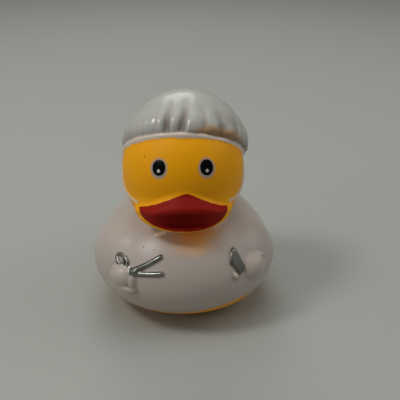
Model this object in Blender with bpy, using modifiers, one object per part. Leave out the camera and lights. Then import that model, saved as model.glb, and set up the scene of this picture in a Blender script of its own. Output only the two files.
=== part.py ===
"""A small rubber duck in a surgeon's cap and gown.

The duck is one hollow moulding of soft vinyl. It faces -Y and stands on the flat
under its body, which lies in the plane z = 0. Units are metres, +Z is up.
"""

import math

import bmesh
import bpy
from mathutils import Matrix, Vector

MM = 0.001

# Vinyl wall, thicker behind the cap's folds and in the base, and the vent hole through the base
WALL = 1.8 * MM
CAP_WALL = 2.6 * MM
BASE_WALL = 2.0 * MM
VENT_DIAMETER = 3.0 * MM
VENT_CHAMFER = 0.4 * MM

# Body: an egg lying level, cut flat below, narrower behind and above
BODY_WIDTH = 46.0 * MM
BODY_LENGTH = 51.4 * MM
BODY_HEIGHT = 31.6 * MM
BODY_CUT = 2.3 * MM
BODY_BACK_TAPER = 0.13
BODY_TOP_TAPER = 0.09
TAIL_LENGTH = 4.5 * MM
TAIL_WIDTH = 19.0 * MM
TAIL_THICKNESS = 10.0 * MM
TAIL_RISE = 8.5 * MM
TAIL_ROOT = 9.5 * MM
TAIL_LIFT = 6.0 * MM
TAIL_TAPER = 0.35

# Short puffed sleeves; a place is the X and Z of a spot on the front of the body
LOBE_THICKNESS = 6.4 * MM
SLEEVE_PLACE = (19.6 * MM, 18.2 * MM)
SLEEVE_LENGTH = 12.0 * MM
SLEEVE_WIDTH = 9.0 * MM
SLEEVE_PROUD = 2.4 * MM
SLEEVE_WAY = Vector((0.3, -0.45, -0.85))

# Mitten hands below the sleeves; the left one, on the side of -X, has a thumb and a finger
HAND_WAY = Vector((0.9, 0.45, 0.2))
LEFT_HAND_PLACE = (15.4 * MM, 13.6 * MM)
LEFT_HAND_LENGTH = 8.0 * MM
LEFT_HAND_WIDTH = 7.0 * MM
LEFT_HAND_PROUD = 2.1 * MM
RIGHT_HAND_PLACE = (17.2 * MM, 14.8 * MM)
RIGHT_HAND_LENGTH = 8.4 * MM
RIGHT_HAND_WIDTH = 7.2 * MM
RIGHT_HAND_PROUD = 1.7 * MM
THUMB_PLACE = (13.3 * MM, 13.9 * MM)
THUMB_LENGTH = 5.8 * MM
THUMB_WIDTH = 3.0 * MM
THUMB_THICKNESS = 4.4 * MM
THUMB_PROUD = 2.0 * MM
THUMB_WAY = Vector((0.1, 0.0, 1.0))
FINGER_PLACE = (14.7 * MM, 16.8 * MM)
FINGER_LENGTH = 4.6 * MM
FINGER_WIDTH = 2.0 * MM
FINGER_THICKNESS = 3.2 * MM
FINGER_PROUD = 1.2 * MM
FINGER_WAY = Vector((0.9, 0.3, 0.2))

# Head, seated in the top of the body, its lower half drawn down to the cheeks and the chin
HEAD_WIDTH = 29.4 * MM
HEAD_DEPTH = 29.0 * MM
HEAD_HEIGHT = 30.0 * MM
HEAD_SEAT = 6.8 * MM
HEAD_FORWARD = 5.5 * MM
HEAD_CHIN = 1.24

# Open bill: a tent of a roof over a shallow bowl, measured from between the corners of the mouth
BILL_WIDTH = 21.8 * MM
BILL_CORNER_AHEAD = 9.1 * MM
BILL_CORNER_DROP = 6.2 * MM
ROOF_REACH = 8.5 * MM
ROOF_RISE = 2.8 * MM
ROOF_SLOPE = 0.90
ROOF_SPREAD = 1.35
ROOF_EDGE = 0.25
PALATE_RISE = 1.35 * MM
PALATE_EDGE = 0.2 * MM
BOWL_REACH = 7.0 * MM
BOWL_DEPTH = 3.2 * MM
BOWL_FALL = 0.42
LIP_THICKNESS = 1.1 * MM
LIP_DROP = 0.33 * MM
LIP_STEPS = 24
WEB_INSET = 0.4 * MM
WEB_REACH = 6.4 * MM
WEB_HEIGHT = 7.4 * MM
WEB_DROP = 0.8 * MM
MOUTH_INSET = 3.1 * MM
MOUTH_LENGTH = 8.0 * MM
MOUTH_HEIGHT = 4.0 * MM
MOUTH_ASIDE = 0.6 * MM
MOUTH_REACH = 8.3 * MM
MOUTH_DROP = 0.4 * MM

# Gathered cap, worn tilted to the back of the head and a little to one side
CAP_TILT = math.radians(37.6)
CAP_ROLL = math.radians(1.4)
CAP_OFFSET = 4.0 * MM
CAP_SHIFT = 0.5 * MM
CAP_LOOSE_ASIDE = 0.75 * MM
CAP_LOOSE_AHEAD = 0.6 * MM
CAP_RISE = 15.3 * MM
CAP_PUFF = 0.45 * MM
CAP_PUFF_AT = 4.0 * MM
CAP_PUFF_SPREAD = 3.0 * MM
CAP_TUCK = 2.0 * MM
CAP_TUCK_HEIGHT = 0.9 * MM
CAP_EDGE_HEIGHT = 0.2 * MM
GAP_TUCK = 1.2 * MM
GAP_HEIGHT = 0.6 * MM
GAP_ANGLES = (0.0, 26.0, 52.0, 80.0)
RIM_THICKNESS = 1.3 * MM
RIM_STEPS = 60

# Folds seen over the forehead: angle round the cap and half width in degrees, depth and reach in millimetres
FRONT_FOLDS = (
    (-57.0, 4.5, 0.30, 4.5),
    (-47.0, 3.2, 0.35, 5.0),
    (-36.0, 4.0, 0.50, 5.4),
    (-25.5, 2.8, 0.60, 5.8),
    (-15.0, 4.0, 1.30, 10.0),
    (-0.5, 4.2, 1.30, 11.0),
    (18.0, 4.5, 0.75, 9.5),
    (36.0, 6.0, 0.95, 10.0),
    (54.0, 4.0, 0.80, 8.0),
    (69.0, 4.5, 0.60, 7.0),
)
FOLD_FADE = 1.2

# The evener folds round the back of the cap
BACK_FOLD_COUNT = 16
BACK_FOLD_ANGLES = (82.0, 292.0)
BACK_FOLD_SPREAD = 4.0
BACK_FOLD_DEPTHS = (0.75, 0.45, 0.60)
BACK_FOLD_REACHES = (8.0, 5.5, 7.0, 6.0)

# Ties on the cheeks: directions from the middle of the head, from under the rim to the bill's corner
TIE_THICKNESS = 0.9 * MM
TIE_PROUD = 0.15 * MM
TIE_STEPS = 4
TIE_WAY = (
    Vector((0.95, 0.10, 0.27)),
    Vector((0.97, 0.22, 0.02)),
    Vector((0.94, 0.12, -0.22)),
    Vector((0.90, -0.19, -0.37)),
    Vector((0.72, -0.57, -0.42)),
)

# Scissors in one hand: places are across (X) and up (Z) on the front of the body
SCISSOR_PIVOT = Vector((-11.9, 17.4)) * MM
SCISSOR_PLATE = Vector((3.0, 1.8, 1.9)) * MM
SCISSOR_RING = Vector((-14.6, 18.95)) * MM
SCISSOR_RING_WIDTH = 2.9 * MM
SCISSOR_RING_HEIGHT = 3.1 * MM
SCISSOR_RING_LIFT = 0.15 * MM
RING_STEPS = 20
SCISSOR_WIRE = 0.95 * MM
UPPER_BLADE = (Vector((-12.2, 17.6)) * MM, Vector((-5.6, 21.25)) * MM)
LOWER_BLADE = (Vector((-12.4, 17.1)) * MM, Vector((-5.3, 18.2)) * MM)
BLADE_THICKNESS = 1.15 * MM
BAR_STEPS = 6
SCISSOR_PROUD = 0.1 * MM

# Scalpel in the other hand: the corners of its blade, tip first
SCALPEL_OUTLINE = (
    Vector((11.2, 21.5)) * MM,
    Vector((11.7, 21.5)) * MM,
    Vector((14.3, 17.5)) * MM,
    Vector((14.1, 16.6)) * MM,
    Vector((13.1, 16.1)) * MM,
    Vector((10.8, 19.0)) * MM,
    Vector((10.8, 20.4)) * MM,
)
SCALPEL_THICKNESS = 1.65 * MM
SCALPEL_PROUD = 0.55 * MM
SCALPEL_EDGE = 0.22 * MM
SCALPEL_STUB_PLACE = (12.3 * MM, 15.6 * MM)
SCALPEL_STUB_LENGTH = 2.6 * MM
SCALPEL_STUB_WIDTH = 1.4 * MM
SCALPEL_STUB_THICKNESS = 2.8 * MM
SCALPEL_STUB_PROUD = 0.7 * MM
SCALPEL_STUB_WAY = Vector((0.4, 0.0, 1.0))

# How finely the forms and the moulded skin are made
TUBE_ROUNDNESS = 2
WELD = 0.001 * MM
PLACE_ROUNDS = 4
CROWN_SEGMENTS = 240
CROWN_RINGS = 96
SKIN_VOXEL = 0.55 * MM
SKIN_SMOOTHING = 3
SKIN_KEEP = 0.072
CAVITY_VOXEL = 1.1 * MM
CAVITY_KEEP = 0.10

# Places that follow from the sizes above; the duck's length is centred on the origin
BODY_CENTRE = Vector((0.0, -TAIL_LENGTH / 2, BODY_HEIGHT / 2 - BODY_CUT))
HEAD_RISE = BODY_HEIGHT / 2 + HEAD_HEIGHT / 2 - HEAD_SEAT
HEAD_CENTRE = BODY_CENTRE + Vector((0.0, -HEAD_FORWARD, HEAD_RISE))
BILL_ORIGIN = HEAD_CENTRE - Vector((0.0, BILL_CORNER_AHEAD, BILL_CORNER_DROP))
CAP_TURN = Matrix.Rotation(-CAP_TILT, 3, "X") @ Matrix.Rotation(CAP_ROLL, 3, "Y")
CAP_CENTRE = HEAD_CENTRE + CAP_TURN.col[2] * CAP_OFFSET
CAP_WIDTH = HEAD_WIDTH + 2 * CAP_LOOSE_ASIDE
CAP_DEPTH = HEAD_DEPTH + 2 * CAP_LOOSE_AHEAD


def clear_scene():
    """Remove every object of the scene."""
    for obj in list(bpy.data.objects):
        bpy.data.objects.remove(obj, do_unlink=True)


def make_collection(name):
    """Make a collection and link it to the scene."""
    collection = bpy.data.collections.new(name)
    bpy.context.scene.collection.children.link(collection)
    return collection


def make_vinyl():
    """Soft yellow vinyl with a slight sheen."""
    material = bpy.data.materials.new("yellow_vinyl")
    material.use_nodes = True
    shader = material.node_tree.nodes["Principled BSDF"]
    shader.inputs["Base Color"].default_value = (0.87, 0.42, 0.02, 1.0)
    shader.inputs["Roughness"].default_value = 0.42
    shader.inputs["Metallic"].default_value = 0.0
    return material


def make_object(name, mesh, collection):
    """Link a mesh as a named object."""
    obj = bpy.data.objects.new(name, mesh)
    collection.objects.link(obj)
    return obj


def hide_tool(obj):
    """Mark an object as one that only shapes another."""
    obj.hide_render = True
    obj.display_type = "WIRE"
    return obj


def ball(name, size, centre, collection, turn=None, segments=48, rings=24):
    """A ball drawn out to a width, length and height, then turned and placed."""
    bm = bmesh.new()
    bmesh.ops.create_uvsphere(bm, u_segments=segments, v_segments=rings, radius=0.5)
    place = Matrix.Translation(centre) @ (turn or Matrix()).to_4x4() @ Matrix.Diagonal((*size, 1.0))
    bmesh.ops.transform(bm, matrix=place, verts=bm.verts)
    mesh = bpy.data.meshes.new(name)
    bm.to_mesh(mesh)
    bm.free()
    return hide_tool(make_object(name, mesh, collection))


def block(name, low, high, collection):
    """A box between two corners."""
    bm = bmesh.new()
    bmesh.ops.create_cube(bm, size=1.0)
    low = Vector(low)
    high = Vector(high)
    place = Matrix.Translation((low + high) / 2) @ Matrix.Diagonal((*(high - low), 1.0))
    bmesh.ops.transform(bm, matrix=place, verts=bm.verts)
    mesh = bpy.data.meshes.new(name)
    bm.to_mesh(mesh)
    bm.free()
    return hide_tool(make_object(name, mesh, collection))


def tube(name, points, thickness, collection, closed=False):
    """A round bar along a row of points, made a closed mesh."""
    curve = bpy.data.curves.new(name, "CURVE")
    curve.dimensions = "3D"
    curve.bevel_depth = thickness / 2
    curve.bevel_resolution = TUBE_ROUNDNESS
    curve.use_fill_caps = True
    spline = curve.splines.new("POLY")
    spline.points.add(len(points) - 1)
    for spot, point in zip(spline.points, points):
        spot.co = (*point, 1.0)
    spline.use_cyclic_u = closed
    return curve_to_mesh(name, curve, collection)


def curve_to_mesh(name, curve, collection):
    """Turn a curve into a welded mesh object and drop the curve."""
    holder = make_object(name + "_curve", curve, collection)
    bpy.context.view_layer.update()
    depsgraph = bpy.context.evaluated_depsgraph_get()
    mesh = bpy.data.meshes.new_from_object(holder.evaluated_get(depsgraph))
    bm = bmesh.new()
    bm.from_mesh(mesh)
    bmesh.ops.remove_doubles(bm, verts=bm.verts, dist=WELD)
    bmesh.ops.recalc_face_normals(bm, faces=bm.faces)
    bm.to_mesh(mesh)
    bm.free()
    obj = make_object(name, mesh, collection)
    obj.matrix_world = holder.matrix_world
    bpy.data.objects.remove(holder, do_unlink=True)
    return hide_tool(obj)


def gather(name, pieces, collection):
    """Bring the meshes of several objects into one and drop the objects."""
    bm = bmesh.new()
    for piece in pieces:
        bm.from_mesh(piece.data)
    mesh = bpy.data.meshes.new(name)
    bm.to_mesh(mesh)
    bm.free()
    for piece in pieces:
        bpy.data.objects.remove(piece, do_unlink=True)
    return make_object(name, mesh, collection)


def on_ball(centre, size, x, z):
    """The point on the front of a ball at a given x and z."""
    half = Vector(size) / 2
    across = (x - centre.x) / half.x
    up = (z - centre.z) / half.z
    depth = math.sqrt(max(0.0, 1.0 - across * across - up * up))
    return Vector((x, centre.y - half.y * depth, z))


def body_narrowing(point):
    """How the egg's width changes toward its back and its top."""
    back = (point.y - BODY_CENTRE.y) / (BODY_LENGTH / 2)
    top = (point.z - BODY_CENTRE.z) / (BODY_HEIGHT / 2)
    return 1.0 - BODY_BACK_TAPER * back - BODY_TOP_TAPER * top


def body_normal(point):
    """The outward direction of the body near a point."""
    way = point - BODY_CENTRE
    return Vector((way.x / BODY_WIDTH**2, way.y / BODY_LENGTH**2, way.z / BODY_HEIGHT**2)).normalized()


def on_body(x, z, proud=0.0):
    """A point on the front of the body, lifted off it by proud."""
    size = (BODY_WIDTH, BODY_LENGTH, BODY_HEIGHT)
    point = on_ball(BODY_CENTRE, size, x, z)
    for _ in range(PLACE_ROUNDS):
        point = on_ball(BODY_CENTRE, size, x / body_narrowing(point), z)
    point.x = x
    return point + body_normal(point) * proud


def facing(outward, along):
    """A turn whose X points outward and whose Y lies along the skin."""
    second = (along - outward * along.dot(outward)).normalized()
    third = outward.cross(second)
    return Matrix((outward, second, third)).transposed()


def add_boolean(obj, operand, operation):
    """Join or cut an object with another."""
    modifier = obj.modifiers.new(operand.name, "BOOLEAN")
    modifier.operation = operation
    modifier.solver = "EXACT"
    modifier.object = operand


def add_skin(obj, voxel, smoothing, keep):
    """Run several overlapping forms together into one soft skin."""
    remesh = obj.modifiers.new("skin", "REMESH")
    remesh.mode = "VOXEL"
    remesh.voxel_size = voxel
    smooth = obj.modifiers.new("fillets", "SMOOTH")
    smooth.factor = 0.5
    smooth.iterations = smoothing
    decimate = obj.modifiers.new("facets", "DECIMATE")
    decimate.ratio = keep


def body_forms(collection, inset=0.0):
    """The egg of the body and its upturned tail."""
    size = Vector((BODY_WIDTH, BODY_LENGTH, BODY_HEIGHT)) - Vector((2 * inset,) * 3)
    egg = ball("body_egg", size, BODY_CENTRE, collection)
    for vertex in egg.data.vertices:
        vertex.co.x *= body_narrowing(vertex.co)
    return [egg] if inset > 0.0 else [egg, tail_form(collection)]


def tail_form(collection):
    """A ball drawn to a point backwards and upwards."""
    length = TAIL_ROOT + TAIL_LENGTH
    tail = ball("tail", (TAIL_WIDTH, 2 * length, TAIL_THICKNESS), Vector(), collection)
    for vertex in tail.data.vertices:
        t = max(0.0, vertex.co.y / length)
        vertex.co.x *= 1.0 - TAIL_TAPER * t
        vertex.co.z += TAIL_RISE * t * t
    root = BODY_CENTRE + Vector((0.0, BODY_LENGTH / 2 - TAIL_ROOT, TAIL_LIFT))
    tail.data.transform(Matrix.Translation(root))
    return tail


def lobe(name, side, place, size, proud, way, collection):
    """A soft lobe that lies on the body: its size runs outward, along the skin and across it."""
    mirror = Matrix.Diagonal((side, 1.0, 1.0))
    point = on_body(*place)
    outward = body_normal(point)
    centre = mirror @ (point + outward * (proud - size[0] / 2))
    turn = facing(mirror @ outward, mirror @ way)
    return ball(name, size, centre, collection, turn, segments=32, rings=16)


def arm_forms(side, collection):
    """A short sleeve on the shoulder and the hand below it."""
    size = (LOBE_THICKNESS, SLEEVE_LENGTH, SLEEVE_WIDTH)
    sleeve = lobe("sleeve", side, SLEEVE_PLACE, size, SLEEVE_PROUD, SLEEVE_WAY, collection)
    if side > 0:
        size = (LOBE_THICKNESS, RIGHT_HAND_LENGTH, RIGHT_HAND_WIDTH)
        hand = lobe("hand", side, RIGHT_HAND_PLACE, size, RIGHT_HAND_PROUD, HAND_WAY, collection)
        return [sleeve, hand]
    size = (LOBE_THICKNESS, LEFT_HAND_LENGTH, LEFT_HAND_WIDTH)
    hand = lobe("hand", side, LEFT_HAND_PLACE, size, LEFT_HAND_PROUD, HAND_WAY, collection)
    size = (THUMB_THICKNESS, THUMB_LENGTH, THUMB_WIDTH)
    thumb = lobe("thumb", side, THUMB_PLACE, size, THUMB_PROUD, THUMB_WAY, collection)
    size = (FINGER_THICKNESS, FINGER_LENGTH, FINGER_WIDTH)
    finger = lobe("finger", side, FINGER_PLACE, size, FINGER_PROUD, FINGER_WAY, collection)
    return [sleeve, hand, thumb, finger]


def head_form(collection, inset=0.0):
    """The ball of the head, its lower half drawn down."""
    size = Vector((HEAD_WIDTH, HEAD_DEPTH, HEAD_HEIGHT)) - Vector((2 * inset,) * 3)
    head = ball("head_ball", size, Vector(), collection)
    for vertex in head.data.vertices:
        vertex.co.z *= HEAD_CHIN if vertex.co.z < 0.0 else 1.0
    head.data.transform(Matrix.Translation(HEAD_CENTRE))
    return head


def roof_height(across, y):
    """Height of the bill's roof over the corners, at a part of its half width and a y."""
    rim = -ROOF_REACH * math.sqrt(1.0 - across * across)
    slope = ROOF_SLOPE * max(0.0, 1.0 - (across * ROOF_SPREAD) ** 2)
    return ROOF_RISE * (1.0 - across * across) + slope * (y - rim)


def roof_form(collection):
    """The upper half of the bill: a flat ball drawn out between the tent of the roof and the palate."""
    roof = ball("bill_roof", (2.0, 2.0, 2.0), Vector(), collection)
    for vertex in roof.data.vertices:
        x, y, z = vertex.co
        top = roof_height(min(1.0, abs(x)), y * ROOF_REACH)
        low = -PALATE_RISE * y
        part = math.copysign(abs(z) ** ROOF_EDGE, z)
        height = (top + low) / 2 + (top - low) / 2 * part
        vertex.co = (x * BILL_WIDTH / 2, y * ROOF_REACH, height)
    roof.data.transform(Matrix.Translation(BILL_ORIGIN))
    return roof


def bowl_form(collection):
    """The lower half of the bill: half a flat ball, its rim falling forward from the corners."""
    size = (BILL_WIDTH, 2 * BOWL_REACH, 2 * BOWL_DEPTH)
    bowl = ball("bill_bowl", size, Vector(), collection)
    for vertex in bowl.data.vertices:
        vertex.co.z = min(0.0, vertex.co.z)
    tilt = Matrix.Rotation(math.atan(BOWL_FALL), 4, "X")
    bowl.data.transform(Matrix.Translation(BILL_ORIGIN) @ tilt)
    return bowl


def lip_forms(collection):
    """The rolled edges of both halves, from corner to corner."""
    radius = LIP_THICKNESS / 2
    upper = []
    lower = []
    for index in range(LIP_STEPS + 1):
        angle = math.pi * index / LIP_STEPS
        x = (BILL_WIDTH / 2 - radius) * math.cos(angle)
        ahead = math.sin(angle)
        height = max(ROOF_RISE * ahead * ahead - radius, -PALATE_EDGE)
        upper.append(BILL_ORIGIN + Vector((x, -(ROOF_REACH - radius) * ahead, height)))
        reach = (BOWL_REACH - radius) * ahead
        lower.append(BILL_ORIGIN + Vector((x, -reach, -BOWL_FALL * reach - LIP_DROP)))
    upper_lip = tube("upper_lip", upper, LIP_THICKNESS, collection)
    return [upper_lip, tube("lower_lip", lower, LIP_THICKNESS, collection)]


def bill_forms(collection):
    """The open bill: roof, bowl, the web between them and the lips."""
    web_at = BILL_ORIGIN - Vector((0.0, 0.0, WEB_DROP))
    web_size = (BILL_WIDTH - 2 * WEB_INSET, 2 * WEB_REACH, WEB_HEIGHT)
    web = ball("bill_web", web_size, web_at, collection)
    return [roof_form(collection), bowl_form(collection), web] + lip_forms(collection)


def mouth_form(collection, grow=0.0):
    """The hollow between the lips, grown by a wall for the inside."""
    size = Vector((BILL_WIDTH - 2 * MOUTH_INSET, MOUTH_LENGTH, MOUTH_HEIGHT)) + Vector((2 * grow,) * 3)
    centre = BILL_ORIGIN + Vector((MOUTH_ASIDE, -MOUTH_REACH, -MOUTH_DROP))
    return ball("mouth", size, centre, collection, segments=32, rings=16)


def cap_to_world():
    """The frame of the cap: its own Z runs along the cap's axis, its -Y to the forehead."""
    return Matrix.Translation(CAP_CENTRE) @ CAP_TURN.to_4x4()


def ramp(value, low, high):
    """Rise smoothly from 0 at low to 1 at high."""
    part = min(1.0, max(0.0, (value - low) / (high - low)))
    return part * part * (3.0 - 2.0 * part)


def cap_folds():
    """Every fold round the cap: angle, half width, depth and reach."""
    folds = list(FRONT_FOLDS)
    first, last = BACK_FOLD_ANGLES
    for index in range(BACK_FOLD_COUNT):
        angle = first + (last - first) * index / (BACK_FOLD_COUNT - 1)
        depth = BACK_FOLD_DEPTHS[index % len(BACK_FOLD_DEPTHS)]
        reach = BACK_FOLD_REACHES[index % len(BACK_FOLD_REACHES)]
        folds.append((angle, BACK_FOLD_SPREAD, depth, reach))
    return folds


def fold_depth(angle, height):
    """How deep the folds are at an angle in degrees and a height over the rim's plane."""
    total = 0.0
    for middle, spread, depth, reach in cap_folds():
        away = (angle - middle + 180.0) % 360.0 - 180.0
        fade = max(0.0, 1.0 - height / (reach * MM)) ** FOLD_FADE
        total += depth * MM * math.exp(-((away / spread) ** 2)) * min(1.0, fade)
    return total


def crown_shift(angle, height):
    """How far the crown stands out from its ball: its puff, less its tuck over the rim and its folds."""
    first, second, third, fourth = GAP_ANGLES
    gap = ramp(angle, first, second) * (1.0 - ramp(angle, third, fourth))
    tall = CAP_TUCK_HEIGHT + GAP_HEIGHT * gap
    tuck = (CAP_TUCK + GAP_TUCK * gap) * min(1.0, max(0.0, 1.0 - height / tall)) ** 2
    puff = CAP_PUFF * math.exp(-(((height - CAP_PUFF_AT) / CAP_PUFF_SPREAD) ** 2))
    return puff - tuck - fold_depth(angle, height)


def cap_form(collection, inset=0.0):
    """The puffed crown of the cap, folded above its gathered edge."""
    size = Vector((CAP_WIDTH, CAP_DEPTH, 2 * CAP_RISE)) - Vector((2 * inset,) * 3)
    crown = ball("cap_crown", size, Vector(), collection, segments=CROWN_SEGMENTS, rings=CROWN_RINGS)
    for vertex in crown.data.vertices:
        radius = math.hypot(vertex.co.x, vertex.co.y)
        if vertex.co.z < -CAP_TUCK_HEIGHT or inset > 0.0 or radius < CAP_TUCK:
            continue
        angle = math.degrees(math.atan2(vertex.co.x, -vertex.co.y))
        scale = 1.0 + crown_shift(angle, vertex.co.z) / radius
        vertex.co.x *= scale
        vertex.co.y *= scale
    crown.data.transform(Matrix.Translation((CAP_SHIFT, 0.0, 0.0)))
    if inset == 0.0:
        cut_below_rim(crown)
    crown.data.transform(cap_to_world())
    return crown


def cut_below_rim(crown):
    """Keep the crown above the rim's plane and close it there."""
    bm = bmesh.new()
    bm.from_mesh(crown.data)
    geometry = bm.verts[:] + bm.edges[:] + bm.faces[:]
    cut = bmesh.ops.bisect_plane(
        bm, geom=geometry, plane_co=(0, 0, CAP_EDGE_HEIGHT), plane_no=(0, 0, -1), clear_outer=True
    )
    edges = [item for item in cut["geom_cut"] if isinstance(item, bmesh.types.BMEdge)]
    bmesh.ops.edgeloop_fill(bm, edges=edges)
    bmesh.ops.recalc_face_normals(bm, faces=bm.faces)
    bm.to_mesh(crown.data)
    bm.free()


def rim_radius():
    """The radius at which the rim's plane cuts the head, seen along the cap's axis."""
    half = HEAD_WIDTH / 2
    return math.sqrt(half * half - CAP_OFFSET * CAP_OFFSET)


def cap_rim(collection):
    """The rolled edge of the cap, a ring on the head."""
    place = cap_to_world()
    radius = rim_radius()
    points = []
    for index in range(RIM_STEPS):
        angle = 2 * math.pi * index / RIM_STEPS
        points.append(place @ Vector((radius * math.sin(angle), -radius * math.cos(angle), 0.0)))
    return tube("cap_rim", points, RIM_THICKNESS, collection, closed=True)


def tie(side, collection):
    """A thin cord lying on the cheek, from under the cap's rim to the corner of the bill."""
    points = []
    for start, end in zip(TIE_WAY[:-1], TIE_WAY[1:]):
        for index in range(TIE_STEPS):
            points.append(start.lerp(end, index / TIE_STEPS))
    points.append(TIE_WAY[-1])
    half = Vector((HEAD_WIDTH, HEAD_DEPTH, HEAD_HEIGHT)) / 2
    cord = []
    for point in points:
        way = point.normalized()
        low = HEAD_CHIN if way.z < 0.0 else 1.0
        skin = Vector((way.x * half.x, way.y * half.y, way.z * half.z * low)) + way * TIE_PROUD
        cord.append(HEAD_CENTRE + Vector((side * skin.x, skin.y, skin.z)))
    return tube("tie", cord, TIE_THICKNESS, collection)


def bar_on_body(name, start, end, thickness, collection):
    """A round bar that follows the front of the body between two places."""
    points = []
    for index in range(BAR_STEPS + 1):
        place = start.lerp(end, index / BAR_STEPS)
        points.append(on_body(place.x, place.y, SCISSOR_PROUD))
    return tube(name, points, thickness, collection)


def scissor_forms(collection):
    """Open scissors in relief: two blades, the plate at their pivot, a shank and a finger ring."""
    forms = [
        bar_on_body("upper_blade", *UPPER_BLADE, BLADE_THICKNESS, collection),
        bar_on_body("lower_blade", *LOWER_BLADE, BLADE_THICKNESS, collection),
    ]
    pivot = on_body(*SCISSOR_PIVOT)
    turn = Matrix.Rotation(math.atan2(pivot.x, -pivot.y), 3, "Z")
    forms.append(ball("pivot_plate", SCISSOR_PLATE, pivot, collection, turn, segments=24, rings=12))
    wide = (SCISSOR_RING_WIDTH - SCISSOR_WIRE) / 2
    high = (SCISSOR_RING_HEIGHT - SCISSOR_WIRE) / 2
    loop = []
    for index in range(RING_STEPS):
        angle = 2 * math.pi * index / RING_STEPS
        x = SCISSOR_RING.x + wide * math.cos(angle)
        z = SCISSOR_RING.y + high * math.sin(angle)
        loop.append(on_body(x, z, SCISSOR_PROUD + SCISSOR_RING_LIFT))
    forms.append(tube("finger_ring", loop, SCISSOR_WIRE, collection, closed=True))
    away = (SCISSOR_PIVOT - SCISSOR_RING).normalized()
    forms.append(bar_on_body("shank", SCISSOR_RING + away * wide, SCISSOR_PIVOT, SCISSOR_WIRE, collection))
    return forms


def scalpel_form(collection):
    """A short scalpel blade in relief: a flat bar with a slanted tip, bent to the body."""
    bm = bmesh.new()
    for lift in (SCALPEL_PROUD - SCALPEL_THICKNESS, SCALPEL_PROUD):
        row = [bm.verts.new(on_body(corner.x, corner.y, lift)) for corner in SCALPEL_OUTLINE]
        bm.faces.new(row)
    bmesh.ops.bridge_loops(bm, edges=bm.edges[:])
    bmesh.ops.recalc_face_normals(bm, faces=bm.faces)
    mesh = bpy.data.meshes.new("scalpel")
    bm.to_mesh(mesh)
    bm.free()
    scalpel = hide_tool(make_object("scalpel", mesh, collection))
    bevel = scalpel.modifiers.new("edges", "BEVEL")
    bevel.width = SCALPEL_EDGE
    bevel.segments = 2
    return scalpel


def scalpel_stub(collection):
    """The end of the scalpel's handle, a small lobe below the blade."""
    size = (SCALPEL_STUB_THICKNESS, SCALPEL_STUB_LENGTH, SCALPEL_STUB_WIDTH)
    return lobe("stub", 1, SCALPEL_STUB_PLACE, size, SCALPEL_STUB_PROUD, SCALPEL_STUB_WAY, collection)


def base_block(top, collection):
    """The block that cuts everything below a height."""
    reach = BODY_WIDTH + BODY_LENGTH
    return block("base_block", (-reach, -reach, -reach), (reach, reach, top), collection)


def vent_form(collection):
    """The round vent with a chamfered mouth, a profile turned about Z."""
    radius = VENT_DIAMETER / 2
    top = BASE_WALL + 3.0 * MM
    low = -1.0 * MM
    wide = radius + VENT_CHAMFER - low
    profile = [(0.0, top), (radius, top), (radius, VENT_CHAMFER), (wide, low), (0.0, low)]
    mesh = bpy.data.meshes.new("vent")
    edges = [(index, index + 1) for index in range(len(profile) - 1)]
    mesh.from_pydata([(x, 0.0, z) for x, z in profile], edges, [])
    vent = hide_tool(make_object("vent", mesh, collection))
    screw = vent.modifiers.new("turn", "SCREW")
    screw.steps = 32
    screw.render_steps = 32
    screw.use_merge_vertices = True
    screw.merge_threshold = 0.00001
    return vent


def cavity_form(collection):
    """The hollow inside: the same forms drawn in by the wall, clear of the mouth and the base."""
    forms = body_forms(collection, WALL) + [head_form(collection, WALL), cap_form(collection, CAP_WALL)]
    cavity = hide_tool(gather("cavity", forms, collection))
    add_skin(cavity, CAVITY_VOXEL, 2, CAVITY_KEEP)
    add_boolean(cavity, mouth_form(collection, WALL), "DIFFERENCE")
    add_boolean(cavity, base_block(BASE_WALL, collection), "DIFFERENCE")
    return cavity


def build_duck(collection, tools):
    """The whole moulding: soft forms run together, crisp relief on them, then the cuts."""
    forms = body_forms(tools)
    for side in (-1, 1):
        forms += arm_forms(side, tools)
    forms += [head_form(tools), cap_form(tools)] + bill_forms(tools)
    duck = gather("duck_body", forms, collection)
    duck.data.materials.append(make_vinyl())
    add_skin(duck, SKIN_VOXEL, SKIN_SMOOTHING, SKIN_KEEP)
    relief = [cap_rim(tools), tie(-1, tools), tie(1, tools)]
    relief += scissor_forms(tools) + [scalpel_form(tools), scalpel_stub(tools)]
    for form in relief:
        add_boolean(duck, form, "UNION")
    for cutter in (mouth_form(tools), base_block(0.0, tools), cavity_form(tools), vent_form(tools)):
        add_boolean(duck, cutter, "DIFFERENCE")
    duck.data.shade_smooth()
    duck.data.set_sharp_from_angle(angle=math.radians(35.0))
    return duck


def main():
    """Build the duck."""
    clear_scene()
    duck_parts = make_collection("surgeon_rubber_duck")
    tools = make_collection("cutters")
    build_duck(duck_parts, tools)


main()
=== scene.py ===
"""Looks of a small hollow vinyl rubber duck in a surgeon's cap and gown.

The duck is one moulding, so it is modelled as one skin. Every form on it (the egg of the body,
the head, the open bill, the gathered cap, sleeves and hands, ties, scissors and scalpel in relief)
is a distance in millimetres from a point to that form. The forms are run together with the small
fillets of a mould, and the skin is drawn where the distance is zero. The paint lies on it as the
real sprays and prints do, each with an edge measured in millimetres over the same skin.

Sizes and places of forms are in millimetres and angles in degrees, unless a docstring says
otherwise. Arrays of points have a row for each point, and distances are negative inside a form.
"""

import logging
import math
from dataclasses import dataclass, field
from enum import Enum
from typing import Callable

import bpy
import numpy as np
from mathutils import Matrix, Vector


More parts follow.
